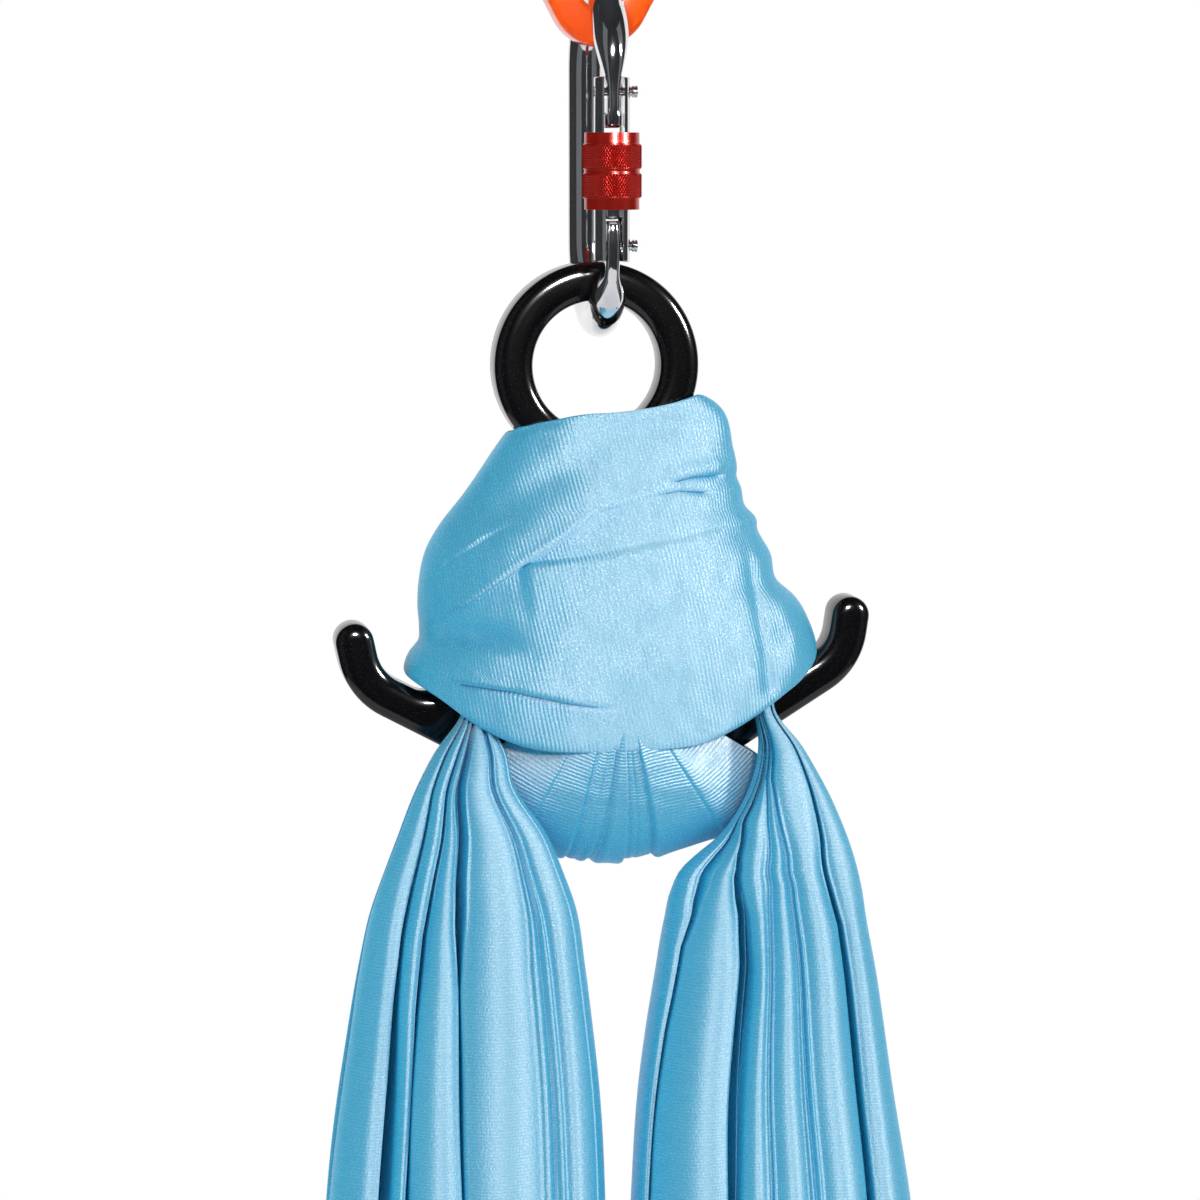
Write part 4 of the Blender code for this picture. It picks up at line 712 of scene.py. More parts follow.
WIRE, COIL_R, COIL_TURNS, PRESS = 0.0004, 0.0023, 7, 0.0006
coil_low, coil_high = (corner[2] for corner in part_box("gate_spring"))
coil = coil_high - coil_low
spring = new_piece("closing_spring")
pen = Pen((COIL_R + WIRE, 0, coil_low + WIRE))
pen.arc((COIL_R, 0, coil_low + WIRE), 360, axis=(0, -1, 0), step=30)
close_piece(spring)
apply_modifier(spring, "SCREW", {"axis": "Z", "angle": 2 * math.pi, "iterations": COIL_TURNS, "steps": 24,
                                 "render_steps": 24, "screw_offset": (coil - 2 * WIRE) / COIL_TURNS})
bpy.ops.object.mode_set(mode="EDIT")
bpy.ops.mesh.select_all(action="SELECT")
bpy.ops.mesh.fill_holes(sides=0)
bpy.ops.transform.translate(value=(0, GATE_Y, 0))
close_piece(spring)
shade(spring, 50)
stand_for(spring, "gate_spring", "gate", bright)
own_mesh(spring)

# Lock sleeve
# Red anodised aluminium, bored to turn on the gate: two bands of diamond knurling between smooth
# collars, with a groove in the middle. A nylon ring inside keeps it where it is turned to.
SLEEVE_TOP = -0.12713
KNURL_R, KNURL_DEPTH, WALL_R = 0.0084, 0.00032, 0.0070
sleeve = turned("screw_sleeve", [
    (0.0055, 0.0), (0.0055, -0.0160), (0.0066, -0.0160), (0.0066, -0.0178), (0.0055, -0.0178),
    (0.0055, -0.0214), (0.0077, -0.0214), (0.0077, -0.0183), (0.0080, -0.0183), (0.0080, -0.01115),
    (0.0078, -0.01115), (0.0078, -0.01025), (0.0080, -0.01025), (0.0080, -0.0031), (0.0077, -0.0031),
    (0.0077, 0.0),
], (0, GATE_Y, SLEEVE_TOP), steps=128)
ease_edges(sleeve, 0.00045, 3, 60)
shade(sleeve, 40)


def knurled_band(name, low, high, across=62, rows=10):
    """A band of pyramids between two crossed sets of grooves, closed onto the sleeve's wall."""
    work = bmesh.new()
    count = 2 * across

    def point(r, column, rise):
        angle = math.pi * column / across
        return work.verts.new((r * math.cos(angle), GATE_Y + r * math.sin(angle), SLEEVE_TOP + rise))

    rings = [[point(WALL_R, column, low) for column in range(count)]]
    for row in range(rows + 1):
        rise = low + (high - low) * row / rows
        peaks = [(row + column) % 2 == 0 and 0 < row < rows for column in range(count)]
        rings.append([point(KNURL_R if peak else KNURL_R - KNURL_DEPTH, column, rise)
                      for column, peak in enumerate(peaks)])
    rings.append([point(WALL_R, column, high) for column in range(count)])
    rings.append(rings[0])
    for row, (first, second) in enumerate(zip(rings, rings[1:]), -1):
        for column in range(count):
            after = (column + 1) % count
            a, b, c, d = first[column], first[after], second[after], second[column]
            if not 0 <= row < rows:
                faces = ((a, b, c, d),)
            elif (row + column) % 2 == 0:
                faces = ((a, b, d), (b, c, d))
            else:
                faces = ((a, b, c), (a, c, d))
            for face in faces:
                work.faces.new(face)
    bmesh.ops.recalc_face_normals(work, faces=work.faces)
    mesh = bpy.data.meshes.new(name)
    work.to_mesh(mesh)
    work.free()
    return add_object(name, mesh)


red = Finish("red_anodised", {"Metallic": 0.45, "Specular IOR Level": 0.3, "Coat Weight": 0.20,
                              "Coat Roughness": 0.08})
cloud = red.noise(red.place(), 200.0, 3.0)
grain = red.noise(red.place((1.0, 1.0, 30.0)), 900.0, 2.0)
red.feed("Base Color", red.mix(cloud, (0.34, 0.008, 0.004, 1), (0.46, 0.015, 0.007, 1)))
red.feed("Roughness", red.between(grain, 0.2, 0.8, 0.16, 0.26))
red.relief(grain, 0.00001)
stand_for(sleeve, "lock_sleeve", "sleeve", red)
for name, low, high in (("knurl_low", -0.0181, -0.01135), ("knurl_high", -0.01005, -0.0033)):
    band = knurled_band(name, low, high)
    band.data.materials.append(red.material)
    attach(band, "sleeve")
friction_ring = turned("friction_ring", [(0.0054, -0.0175), (0.0063, -0.0175), (0.0063, -0.0163),
                                         (0.0054, -0.0163)], (0, GATE_Y, SLEEVE_TOP))
ease_edges(friction_ring, 0.0002, 3)
shade(friction_ring)
stand_for(friction_ring, "sleeve_friction_ring", "sleeve_carrier", nylon)

# Rescue eight
# A forged aluminium descender with a small ring, a large ring and two horns in one piece. Its edges
# are well rounded, and it is coated with a glossy black powder that has a fine speckle.
EIGHT = Vector((-0.0012, 0.0, -0.19322))
TILT = Matrix.Rotation(math.radians(-1.9), 4, "Y")
SPACING, BAND = 0.0850, 0.0110
SMALL_R, LARGE_R = 0.0296, 0.0440
HALF_THICK, EDGE = 0.0070, 0.0042
HORN_BEND_R, HORN_FILLET_R, NECK_FILLET_R = 0.0175, 0.0080, 0.0098
HORN_RUN, HORN_END = 0.0510, 0.0046
# The outline is drawn in a plate this much thicker, and flattened at the end, which makes its edges oval
FLATTER = 1.75


def heading(start, end):
    return math.degrees(math.atan2(end[2] - start[2], end[0] - start[0]))


def on(centre, radius, degrees):
    a = math.radians(degrees)
    return Vector((centre[0] + radius * math.cos(a), centre[1], centre[2] + radius * math.sin(a)))


y = -HALF_THICK * FLATTER
small, large = Vector((0, y, 0)), Vector((0, y, -SPACING))
rise = math.radians(30)
along, below = Vector((math.cos(rise), 0, math.sin(rise))), Vector((math.sin(rise), 0, -math.cos(rise)))
half = BAND / 2
bend = large + below * (LARGE_R - half) + along * HORN_RUN - below * HORN_BEND_R
lean = math.radians(10)
tip = bend + Vector((math.cos(lean) * HORN_BEND_R + math.sin(lean) * HORN_END, 0,
                     -math.sin(lean) * HORN_BEND_R + math.cos(lean) * HORN_END))
deep = LARGE_R - BAND - HORN_FILLET_R
fillet = large + below * deep + along * math.sqrt((LARGE_R + HORN_FILLET_R) ** 2 - deep ** 2)
small_reach, large_reach = SMALL_R + NECK_FILLET_R, LARGE_R + NECK_FILLET_R
down = (SPACING ** 2 + small_reach ** 2 - large_reach ** 2) / (2 * SPACING)
neck = Vector((math.sqrt(small_reach ** 2 - down ** 2), y, -down))

eight = new_piece("descender")
pen = Pen(on(large, LARGE_R, -90))
pen.arc(large, 30, step=2.5)
pen.line(on(bend, HORN_BEND_R + half, -60))
pen.arc(bend, 50)
pen.line(on(tip, half, -10))
pen.arc(tip, 180, step=9)
pen.line(on(bend, HORN_BEND_R - half, -10))
pen.arc(bend, -50)
pen.line(on(fillet, HORN_FILLET_R, -60))
pen.arc(fillet, (heading(fillet, large) % 360 - 360) + 60, step=6)
pen.arc(large, heading(large, neck) - heading(large, fillet), step=2.5)
pen.arc(neck, heading(neck, small) - (heading(neck, large) + 360), step=5)
pen.arc(small, 90 - heading(small, neck), step=2.5)
bpy.ops.mesh.select_all(action="SELECT")
bpy.ops.mesh.duplicate()
bpy.ops.transform.resize(value=(-1, 1, 1), center_override=(0, 0, 0))
merge_points(1e-5)
bpy.ops.mesh.edge_face_add()
draw_out((0, -2 * y, 0))
close_piece(eight)
for centre, radius in ((small, SMALL_R - BAND), (large, LARGE_R - BAND)):
    cut(eight, cylinder(144, radius, 0.05, (0, 0, centre[2]), (math.pi / 2, 0, 0)))
ease_edges(eight, EDGE, 8, 50)
eight.data.transform(Matrix.Translation(EIGHT) @ TILT @ Matrix.Diagonal((1, 1 / FLATTER, 1, 1)))
shade(eight, 30)

black = Finish("black_powder_coat", {"Specular IOR Level": 0.0, "Coat Weight": 1.0, "Coat Roughness": 0.12})
at = black.place()
speckle = black.node("TexVoronoi", {}, {"Vector": at, "Scale": 1900.0}, "Distance")
orange_peel = black.noise(at, 950.0, 2.0)
fleck = black.between(black.noise(at, 2600.0, 1.0), 0.66, 0.74)
black.feed("Base Color", black.mix(fleck, (0.0030, 0.0030, 0.0035, 1), (0.035, 0.037, 0.043, 1)))
black.feed("Roughness", black.between(orange_peel, 0.3, 0.7, 0.20, 0.34))
black.relief(orange_peel + speckle * 0.5, 0.000016, 0.8)
stand_for(eight, "rescue_eight", "descender", black)


# Cloth wrap
# The hammock is one wide length of glossy sky-blue nylon tricot, gathered by hand. Here its bight is
# pulled through the large ring, laid over both horns and drawn snug over the eight, in two layers.
def read_table(keys, places):
    """Reads columns of a table at places of its first column, on smooth curves through its rows."""
    table = np.array(keys, dtype=float)
    at, places = table[:, 0], np.asarray(places, dtype=float)
    slope = np.gradient(table[:, 1:], at, axis=0)
    i = np.clip(np.searchsorted(at, places) - 1, 0, len(at) - 2)
    step = (at[i + 1] - at[i])[..., None]
    t = np.clip((places - at[i])[..., None] / step, 0, 1)
    return ((2 * t ** 3 - 3 * t ** 2 + 1) * table[i, 1:] + (3 * t ** 2 - 2 * t ** 3) * table[i + 1, 1:]
            + step * ((t ** 3 - 2 * t ** 2 + t) * slope[i] + (t ** 3 - t ** 2) * slope[i + 1]))


def cloth_piece(name, grid, across, along, closed, thick):
    """A sheet over a grid of points, rows down and columns across, with its knit laid out in metres."""
    rows, columns = grid.shape[:2]
    i, j = np.meshgrid(np.arange(rows - 1), np.arange(columns if closed else columns - 1), indexing="ij")
    row, after = i * columns, (j + 1) % columns
    faces = np.stack((row + j, row + after, row + columns + after, row + columns + j), axis=-1)
    mesh = bpy.data.meshes.new(name)
    mesh.from_pydata(grid.reshape(-1, 3), [], faces.reshape(-1, 4).tolist())
    corners = np.stack([np.stack((way[i, j], way[i, j + 1], way[i + 1, j + 1], way[i + 1, j]), axis=-1)
                        for way in (across, along)], axis=-1)
    layer = mesh.uv_layers.new(name="knit")
    layer.data.foreach_set("uv", corners.reshape(-1).astype(np.float32))
    piece = add_object(name, mesh)
    if thick:
        apply_modifier(piece, "SOLIDIFY", {"thickness": thick, "offset": -1.0})
    for polygon in piece.data.polygons:
        polygon.use_smooth = True
    return piece


def from_line(across, down, points):
    """How far places lie from a traced line and above it, and their share along it."""
    best, above, share = np.full(across.shape, 1e9), np.zeros(across.shape), np.zeros(across.shape)
    points = np.array(points, dtype=float) / 1000
    lengths = np.hypot(*np.diff(points, axis=0).T)
    start = np.concatenate(([0], np.cumsum(lengths)))
    for index, (first, second) in enumerate(zip(points, points[1:])):
        run = second - first
        x, d = across - first[0], down - first[1]
        t = np.clip((x * run[0] + d * run[1]) / (run @ run), 0, 1)
        away = np.hypot(x - t * run[0], d - t * run[1])
        side = np.sign(run[1] * x - run[0] * d)
        nearer = away < best
        best = np.where(nearer, away, best)
        above = np.where(nearer, side * away, above)
        share = np.where(nearer, (start[index] + t * lengths[index]) / start[-1], share)
    return best, above, share


def smooth_step(x):
    x = np.clip(x, 0, 1)
    return x * x * (3 - 2 * x)


# What the cloth does along a line: a layer that lies over the one below it, or under it, or a ridge or
# a crease. Then its height and width in mm, the shares of the line over which it grows and dies away,
# and the line's points in mm, across and down from the small ring's centre
WRAP_FOLDS = (
    ("over", 2.4, 10.0, 0.15, 0.55,
     ((-54, 79.0), (-47.2, 71.1), (-34.9, 62.3), (-25.2, 55.4), (-13.5, 48.2), (-2.1, 40.2), (10.3, 37.0),
      (19.2, 35.7), (33.3, 36.0))),
    ("over", 2.1, 8.0, 0.10, 0.60,
     ((-53.6, 75.0), (-49.5, 61.6), (-44.4, 54.3), (-34.7, 48.0), (-20.0, 40.0))),
    ("crease", 1.5, 0.9, 0.3, 0.3, ((17.0, 33.8), (26.0, 31.9), (37.0, 31.3))),
    ("crease", 1.7, 0.9, 0.3, 0.3, ((14.0, 36.6), (22.0, 35.6), (33.0, 36.6))),
    ("ridge", 0.9, 2.0, 0.3, 0.3, ((16.0, 31.0), (28.0, 29.3), (41.0, 28.0))),
    ("under", 2.0, 9.0, 0.05, 0.6,
     ((-25.7, 55.8), (-2.2, 53.2), (11.8, 50.6), (22.5, 49.1), (30.9, 47.2), (42.7, 45.4), (49.0, 45.0))),
    ("crease", 1.1, 2.2, 0.2, 0.1, ((41.1, 50.3), (43.5, 67.6), (45.6, 82.4), (47.2, 96.0))),
    ("ridge", 1.3, 4.0, 0.2, 0.2, ((48.6, 50.3), (50.8, 62.0), (55.0, 80.0), (55.0, 92.0))),
    ("crease", 3.4, 3.6, 0.2, 0.5, ((-50.0, 75.5), (-40.0, 74.6), (-32.0, 75.4), (-22.0, 78.2))),
    ("under", 1.6, 5.0, 0.0, 0.4, ((-57.0, 79.5), (-43.5, 77.9), (-36.1, 78.9), (-25.0, 81.0))),
    ("over", 2.6, 9.0, 0.0, 0.28,
     ((-60.0, 84.2), (-56.8, 85.1), (-43.8, 87.7), (-27.3, 89.8), (-14.2, 92.7), (-4.5, 94.4),
      (4.0, 95.2))),
    ("crease", 1.0, 0.8, 0.1, 0.2,
     ((-44.0, 88.2), (-27.3, 90.4), (-14.2, 93.3), (-4.5, 95.0), (2.0, 95.6))),
    ("crease", 0.8, 4.0, 0.4, 0.4, ((46.0, 76.0), (51.0, 76.8), (55.0, 80.0))),
    ("ridge", 0.8, 5.0, 0.3, 0.3, ((-44.0, 62.0), (-30.0, 50.0), (-12.0, 38.0), (10.0, 27.0))),
    ("crease", 0.8, 4.5, 0.3, 0.3, ((-40.0, 50.0), (-24.0, 36.0), (-6.0, 26.0))),
    ("ridge", 0.7, 5.0, 0.3, 0.3, ((-34.0, 41.0), (-18.0, 26.0), (-2.0, 18.0))),
    ("crease", 0.5, 5.0, 0.3, 0.3, ((-6.0, 62.0), (20.0, 58.0), (40.0, 56.0))),
    ("crease", 0.5, 6.0, 0.3, 0.3, ((-20.0, 84.0), (6.0, 78.0), (34.0, 68.0))),
    ("ridge", 0.5, 6.0, 0.3, 0.3, ((-10.0, 88.0), (14.0, 84.0), (40.0, 74.0))),
    ("crease", 0.7, 3.0, 0.3, 0.3, ((-2.0, 20.5), (12.0, 18.5), (28.0, 15.0))),
    ("crease", 0.9, 1.4, 0.1, 0.4, ((-25.0, 20.0), (-18.0, 16.5), (-8.0, 15.2))),
)


def wrap_relief(across, down):
    """How far the wrap's folds stand out, in metres."""
    total = 0.00008 * np.sin(420 * across + 260 * down) + 0.00006 * np.sin(250 * across - 510 * down + 1.0)
    for kind, height, width, rise, fall, points in WRAP_FOLDS:
        away, above, share = from_line(across, down, points)
        ends = smooth_step(share / max(rise, 1e-3)) * smooth_step((1 - share) / max(fall, 1e-3))
        width /= 1000
        if kind in ("ridge", "crease"):
            shape = np.exp(-(away / width) ** 2)
        else:
            side = above if kind == "over" else -above
            shape = smooth_step(side / 0.0015 + 0.5) * np.exp(-np.maximum(side, 0) / width)
        total = total + (-1 if kind == "crease" else 1) * height / 1000 * ends * shape
    return total


COLUMNS, ROWS, CLOTH_THICK = 420, 190, 0.0007
angle = np.linspace(0, 2 * math.pi, COLUMNS, endpoint=False)
c, s = np.cos(angle), np.sin(angle)
hem = read_table((
    (-1.00, 0.0885), (-0.84, 0.0930), (-0.62, 0.1010), (-0.40, 0.1062), (-0.10, 0.1080), (0.20, 0.1078),
    (0.40, 0.1064), (0.62, 0.1010), (0.80, 0.0945), (0.92, 0.0900), (1.00, 0.0850),
), c)[:, 0]
hem = np.where((s > 0) & (hem > 0.0880), 0.0880 + (hem - 0.0880) * 0.70, hem)
top = 0.0135 - 0.17 * c * np.where(c > 0, 0.0330, 0.0262) + 0.0045 * np.maximum(s, 0)
top = top + 0.0030 * np.maximum(0, (c - 0.80) / 0.20) ** 2 + 0.0015 * np.maximum(0, (-c - 0.85) / 0.15) ** 2
share = np.linspace(0, 1, ROWS)[:, None]
down = top + (hem - top) * share
left = read_table((
    (0.000, 0.0250), (0.0135, 0.0246), (0.0183, 0.0248), (0.0260, 0.0295), (0.0371, 0.0373),
    (0.0468, 0.0449), (0.0525, 0.0481), (0.0617, 0.0503), (0.0692, 0.0507), (0.0750, 0.0503),
    (0.0795, 0.0507), (0.0830, 0.0534), (0.0894, 0.0555), (0.1080, 0.0570),
), down)[..., 0]
right = read_table((
    (0.000, 0.0300), (0.0085, 0.0322), (0.0135, 0.0367), (0.0240, 0.0397), (0.0300, 0.0409),
    (0.0325, 0.0408), (0.0357, 0.0421), (0.0416, 0.0436), (0.0452, 0.0467), (0.0475, 0.0469),
    (0.0552, 0.0508), (0.0634, 0.0530), (0.0680, 0.0581), (0.0757, 0.0626), (0.0852, 0.0648),
    (0.0912, 0.0636), (0.1080, 0.0590),
), down)[..., 0]
deep = read_table((
    (0.006, 0.0106), (0.017, 0.0112), (0.026, 0.0138), (0.037, 0.0180), (0.047, 0.0218), (0.055, 0.0246),
    (0.063, 0.0268), (0.075, 0.0290), (0.086, 0.0300), (0.097, 0.0296), (0.108, 0.0288),
), down)[..., 0]
power = 2 / (3.2 - 0.8 * smooth_step((down - 0.0125) / 0.03) - 0.25 * smooth_step(-c / 0.3))
across = np.sign(c) * np.abs(c) ** power * np.where(c > 0, right, left)
out = np.sign(s) * np.abs(s) ** power * deep
front = wrap_relief(across, down)
behind = wrap_relief(-across, down * 0.96)
out = out + np.where(s < 0, -front, 0.7 * behind) * np.minimum(1.0, 1.6 * np.abs(s))
# The top edge and the hem turn in a little, as a cut edge rolls
roll = np.exp(-share / 0.012) + np.exp(-(1 - share) / 0.010)
across, out = across * (1 - 0.018 * roll), out * (1 - 0.05 * roll)
grid = np.stack((EIGHT.x + across, out, EIGHT.z - down), axis=-1)
ring_steps = np.linalg.norm(np.diff(np.concatenate((grid, grid[:, :1]), axis=1), axis=1), axis=2)
girth = np.concatenate((np.zeros((ROWS, 1)), np.cumsum(ring_steps, axis=1)), axis=1)
girth -= girth[:, [COLUMNS * 3 // 4]]
fall = np.concatenate((down, down[:, :1]), axis=1)
slant = math.radians(12)
wrap = cloth_piece("wrap", grid, fall * math.cos(slant) + girth * math.sin(slant),
                   (girth * math.cos(slant) - fall * math.sin(slant)) * 0.83, True, CLOTH_THICK)


def tricot_finish(name, gloss_turn):
    """Shiny warp-knit cloth, with whitish glints painted into its colour. Its gloss is drawn out one way,
    which gloss_turn sets in turns.
    """
    tricot = Finish(name, {"IOR": 2.1, "Anisotropic": 0.85, "Anisotropic Rotation": gloss_turn,
                           "Coat Roughness": 0.50, "Coat IOR": 1.6}, "sky_blue_tricot")
    knit = tricot.node("UVMap", {"uv_map": "knit"}, {})
    rows_of_knit = tricot.node("SeparateXYZ", {}, {"Vector": knit}, "Y")
    long_way = tricot.node("Mapping", {}, {"Vector": knit, "Scale": (1.0, 2.4, 1.0)})
    wander = tricot.noise(long_way, 60.0, 2.0)
    clear_ribs = tricot.between(tricot.noise(long_way, 110.0, 2.0), 0.40, 0.62, 0.45, 1.0)
    ribs = tricot.math("SINE", rows_of_knit * (2 * math.pi / 0.00096) + wander * 5.0) * 0.5 + 0.5
    short_way = tricot.node("Mapping", {}, {"Vector": knit, "Scale": (1.0, 0.45, 1.0)})
    stitches = tricot.noise(short_way, 1500.0, 1.5)
    glint_painted_and_glossy = tricot.noise(knit, 2100.0, 1.0)
    weave = ribs * clear_ribs * 0.6 + stitches * 0.7
    colour = tricot.mix(tricot.between(weave, 0.25, 0.95), (0.012, 0.430, 0.710, 1),
                        (0.034, 0.530, 0.790, 1))
    # Painted glints: whitish dots mixed into the base colour stand for the fibres' highlights; the same
    # spots also get a real change of roughness and coat below
    colour = tricot.mix(tricot.between(glint_painted_and_glossy, 0.56, 0.74, 0.0, 0.36), colour, (0.60, 0.80, 0.90, 1))
    tricot.feed("Base Color", colour)
    tricot.feed("Roughness", tricot.between(glint_painted_and_glossy, 0.35, 0.7, 0.68, 0.56))
    tricot.feed("Coat Weight", tricot.between(glint_painted_and_glossy, 0.45, 0.7, 0.0, 0.5))
    tricot.relief(weave + glint_painted_and_glossy * 0.5, 0.00016, 0.9)
    return tricot


tricot = tricot_finish("sky_blue_tricot", 0.25)
crosswise = tricot_finish("sky_blue_tricot_crosswise", 0.0)
stand_for(wrap, "fabric_wrap", "descender", tricot)

# Belly
# The same cloth where it passes under the large ring, between the two legs. It is drawn together there
# in a few sharp pleats, and held by the wrap that is pulled down over it.
BELLY_TURNS, BELLY_SIDES = 260, 130
turns = np.linspace(-57, 55, BELLY_TURNS)
# Degrees round the large ring from its foot, how far outside the ring the cloth reaches, half its depth
form = read_table((
    (-57, 0.0088, 0.0160), (-45, 0.0112, 0.0205), (-30, 0.0134, 0.0258), (-16, 0.0139, 0.0280),
    (0, 0.0145, 0.0284), (10, 0.0143, 0.0284), (20, 0.0156, 0.0280), (27, 0.0172, 0.0272),
    (33, 0.0194, 0.0262), (40, 0.0178, 0.0238), (48, 0.0152, 0.0205), (55, 0.0128, 0.0175),
), turns)
around = np.linspace(-math.pi / 2, math.pi / 2, BELLY_SIDES)
ca, sa = np.cos(around), np.sin(around)
ROUND = 2 / 3.2
foot_share = ca ** ROUND
# Degrees at the hem and at the foot, height in mm, the side that each pleat falls away on, and how far
PLEATS = (
    (-18.5, -15.4, 1.5, -1, 7), (-3.5, -9.4, 1.4, -1, 4), (-2.2, -6.8, 1.2, 1, 4),
    (2.2, 1.5, 1.5, -1, 4), (11.4, 10.7, 1.7, 1, 7), (-9.5, -12.6, 0.5, -1, 3), (6.5, 5.0, 0.4, 1, 3),
    (-34, -30, 0.5, -1, 7), (30, 31, 0.5, 1, 9),
)
lift = np.zeros((BELLY_TURNS, BELLY_SIDES))
for at_hem, at_foot, height, side, spread in PLEATS:
    offset = (turns[:, None] - (at_hem + (at_foot - at_hem) * foot_share)) * side
    lift += height / 1000 * (smooth_step(offset / 1.1 + 0.5) * np.exp(-np.maximum(offset, 0) / spread)
                             - 0.45 * np.exp(-(offset / 0.8) ** 2))
far = LARGE_R + form[:, 0:1]
middle = 0.012
across = (form[:, 1:2] + lift) * np.sign(sa) * np.abs(sa) ** ROUND
reach = middle + (far + lift - middle) * foot_share
grid = np.zeros((BELLY_TURNS, BELLY_SIDES, 3))
tilted = TILT.to_3x3()
hub = np.array(EIGHT + tilted @ Vector((0, 0, -SPACING)))
for row, turn in enumerate(turns):
    outward = np.array(tilted @ Vector((math.sin(math.radians(turn)), 0, -math.cos(math.radians(turn)))))
    grid[row] = hub + reach[row][:, None] * outward + across[row][:, None] * np.array((0.0, 1.0, 0.0))
steps = np.linalg.norm(np.diff(grid, axis=1), axis=2)
run = np.concatenate((np.zeros((BELLY_TURNS, 1)), np.cumsum(steps, axis=1)), axis=1)
run -= run[:, [BELLY_SIDES // 2]]
fall = (grid[..., 2] - grid[..., 2].min()) * np.sign(run)
belly = cloth_piece("belly", grid, grid[..., 0], 0.65 * fall + 0.35 * run, False, CLOTH_THICK)
stand_for(belly, "fabric_belly", "descender", crosswise)

# Tails
# Both ends of the bight hang down as gathered bundles. Each section is one width of the cloth, folded to
# and fro: the wide panels outside, deep pleats between them and inside.
BACK_PLEATS, BACK_DEPTH = (2, 1, 3, 4, 3, 0), 0.84
SQUARE = 2.7
# Each wall of a pleat, from mouth to tip and back: its place in the mouth, and its share of the depth
WALLS = ((-1.0, 0.05), (-0.75, 0.25), (-0.45, 0.60), (-0.25, 0.93), (0.0, 1.0), (0.25, 0.93), (0.45, 0.60),
         (0.75, 0.25), (1.0, 0.05))


def gathered(half_u, half_v, fronts, lean, bulge):
    """A section of the bundle as (across, deep) points: one open line from selvage to selvage.

    fronts gives each front fold as (place across, share of the depth, half width of its mouth).
    lean tips the pleats inside sideways, and bulge rounds the panels between them."""
    def surface(u, side):
        w = np.clip(2 * u - 1, -1, 1)
        return side * half_v * (1 - np.abs(w) ** SQUARE) ** (1 / SQUARE)

    nodes = []

    def panel(first, last, side, count, first_dip, last_dip):
        for step in range(count + 1):
            t = step / count
            u = first + (last - first) * t
            edge = 1 - math.sin(math.pi * t) ** 0.7
            dip = bulge * edge * (first_dip if t < 0.5 else last_dip)
            y = surface(u, side)
            nodes.append(((2 * u - 1) * half_u, y - side * min(dip, 0.6 * abs(y))))

    def pleat(u, side, share, mouth, way, tip_shift):
        y = surface(u, side)
        room = 2 * abs(y)
        m = mouth / (2 * half_u)
        for off, part in WALLS:
            near_mouth = m if part < 0.5 else min(m, 0.0007 / (2 * half_u))
            place = u + way * off * near_mouth + tip_shift * part / (2 * half_u)
            nodes.append(((2 * place - 1) * half_u, y - side * room * share * part))

    edges = [0.0] + [f[0] for f in fronts] + [1.0]
    nodes.append((-0.80 * half_u, 0.10 * half_v))
    nodes.append((-0.93 * half_u, 0.02 * half_v))
    for index, (first, last) in enumerate(zip(edges, edges[1:])):
        gap = 0.0 if index == 0 else fronts[index - 1][2] / (2 * half_u)
        gap_after = 0.0 if index == len(edges) - 2 else fronts[index][2] / (2 * half_u)
        start = 0.0 if index == 0 else min(1.0, fronts[index - 1][1] / 0.05)
        stop = 0.0 if index == len(edges) - 2 else min(1.0, fronts[index][1] / 0.05)
        panel(first + gap, last - gap_after, -1, 12, start, stop)
        if index < len(fronts):
            u, share, mouth = fronts[index]
            pleat(u, -1, share, mouth, 1, lean)
    for index in range(len(edges) - 2, -1, -1):
        first, last = edges[index], edges[index + 1]
        count = BACK_PLEATS[index]
        stops = [last - (last - first) * (k + 0.5) / count for k in range(count)]
        here = last
        for u in stops:
            mouth = min(0.0009, 0.3 * (last - first) / count * 2 * half_u)
            panel(here, u + mouth / (2 * half_u), 1, 4, 0.4, 0.4)
            pleat(u, 1, BACK_DEPTH, mouth, -1, lean)
            here = u - mouth / (2 * half_u)
        panel(here, max(first, 0.004), 1, 4, 0.4, 0.4)
    nodes.append((-0.97 * half_u, 0.25 * half_v))
    nodes.append((-0.86 * half_u, 0.16 * half_v))
    return nodes


def fronts_at(folds, down):
    """Each front fold at a height: its place, share of depth and mouth, from tables by height."""
    def read(table):
        return float(np.interp(down, [row[0] for row in table], [row[1] for row in table]))

    return [(read(where), read(shares), 0.001 * read(mouths)) for where, shares, mouths in folds]


def resample(sections, spacing_on, spacing_in):
    """Turns rows of section nodes into a grid, with points closest on the outside."""
    sections = np.array(sections)
    steps = np.linalg.norm(np.diff(sections[len(sections) // 2], axis=0), axis=1)
    deep = np.abs(np.diff(sections[len(sections) // 2][:, 1])) > 0.8 * steps
    counts = np.maximum(1, np.ceil(steps / np.where(deep, spacing_in, spacing_on))).astype(int)
    index = np.concatenate([np.full(n, i) for i, n in enumerate(counts)] + [[len(counts) - 1]])
    part = np.concatenate([np.arange(n) / n for n in counts] + [[1.0]])
    grid = sections[:, index] * (1 - part)[None, :, None] + sections[:, index + 1] * part[None, :, None]
    for _ in range(3):
        grid[:, 1:-1] = 0.25 * grid[:, :-2] + 0.5 * grid[:, 1:-1] + 0.25 * grid[:, 2:]
    run = np.concatenate(([0], np.cumsum(np.linalg.norm(np.diff(grid[len(grid) // 2], axis=0), axis=1))))
    return grid, run


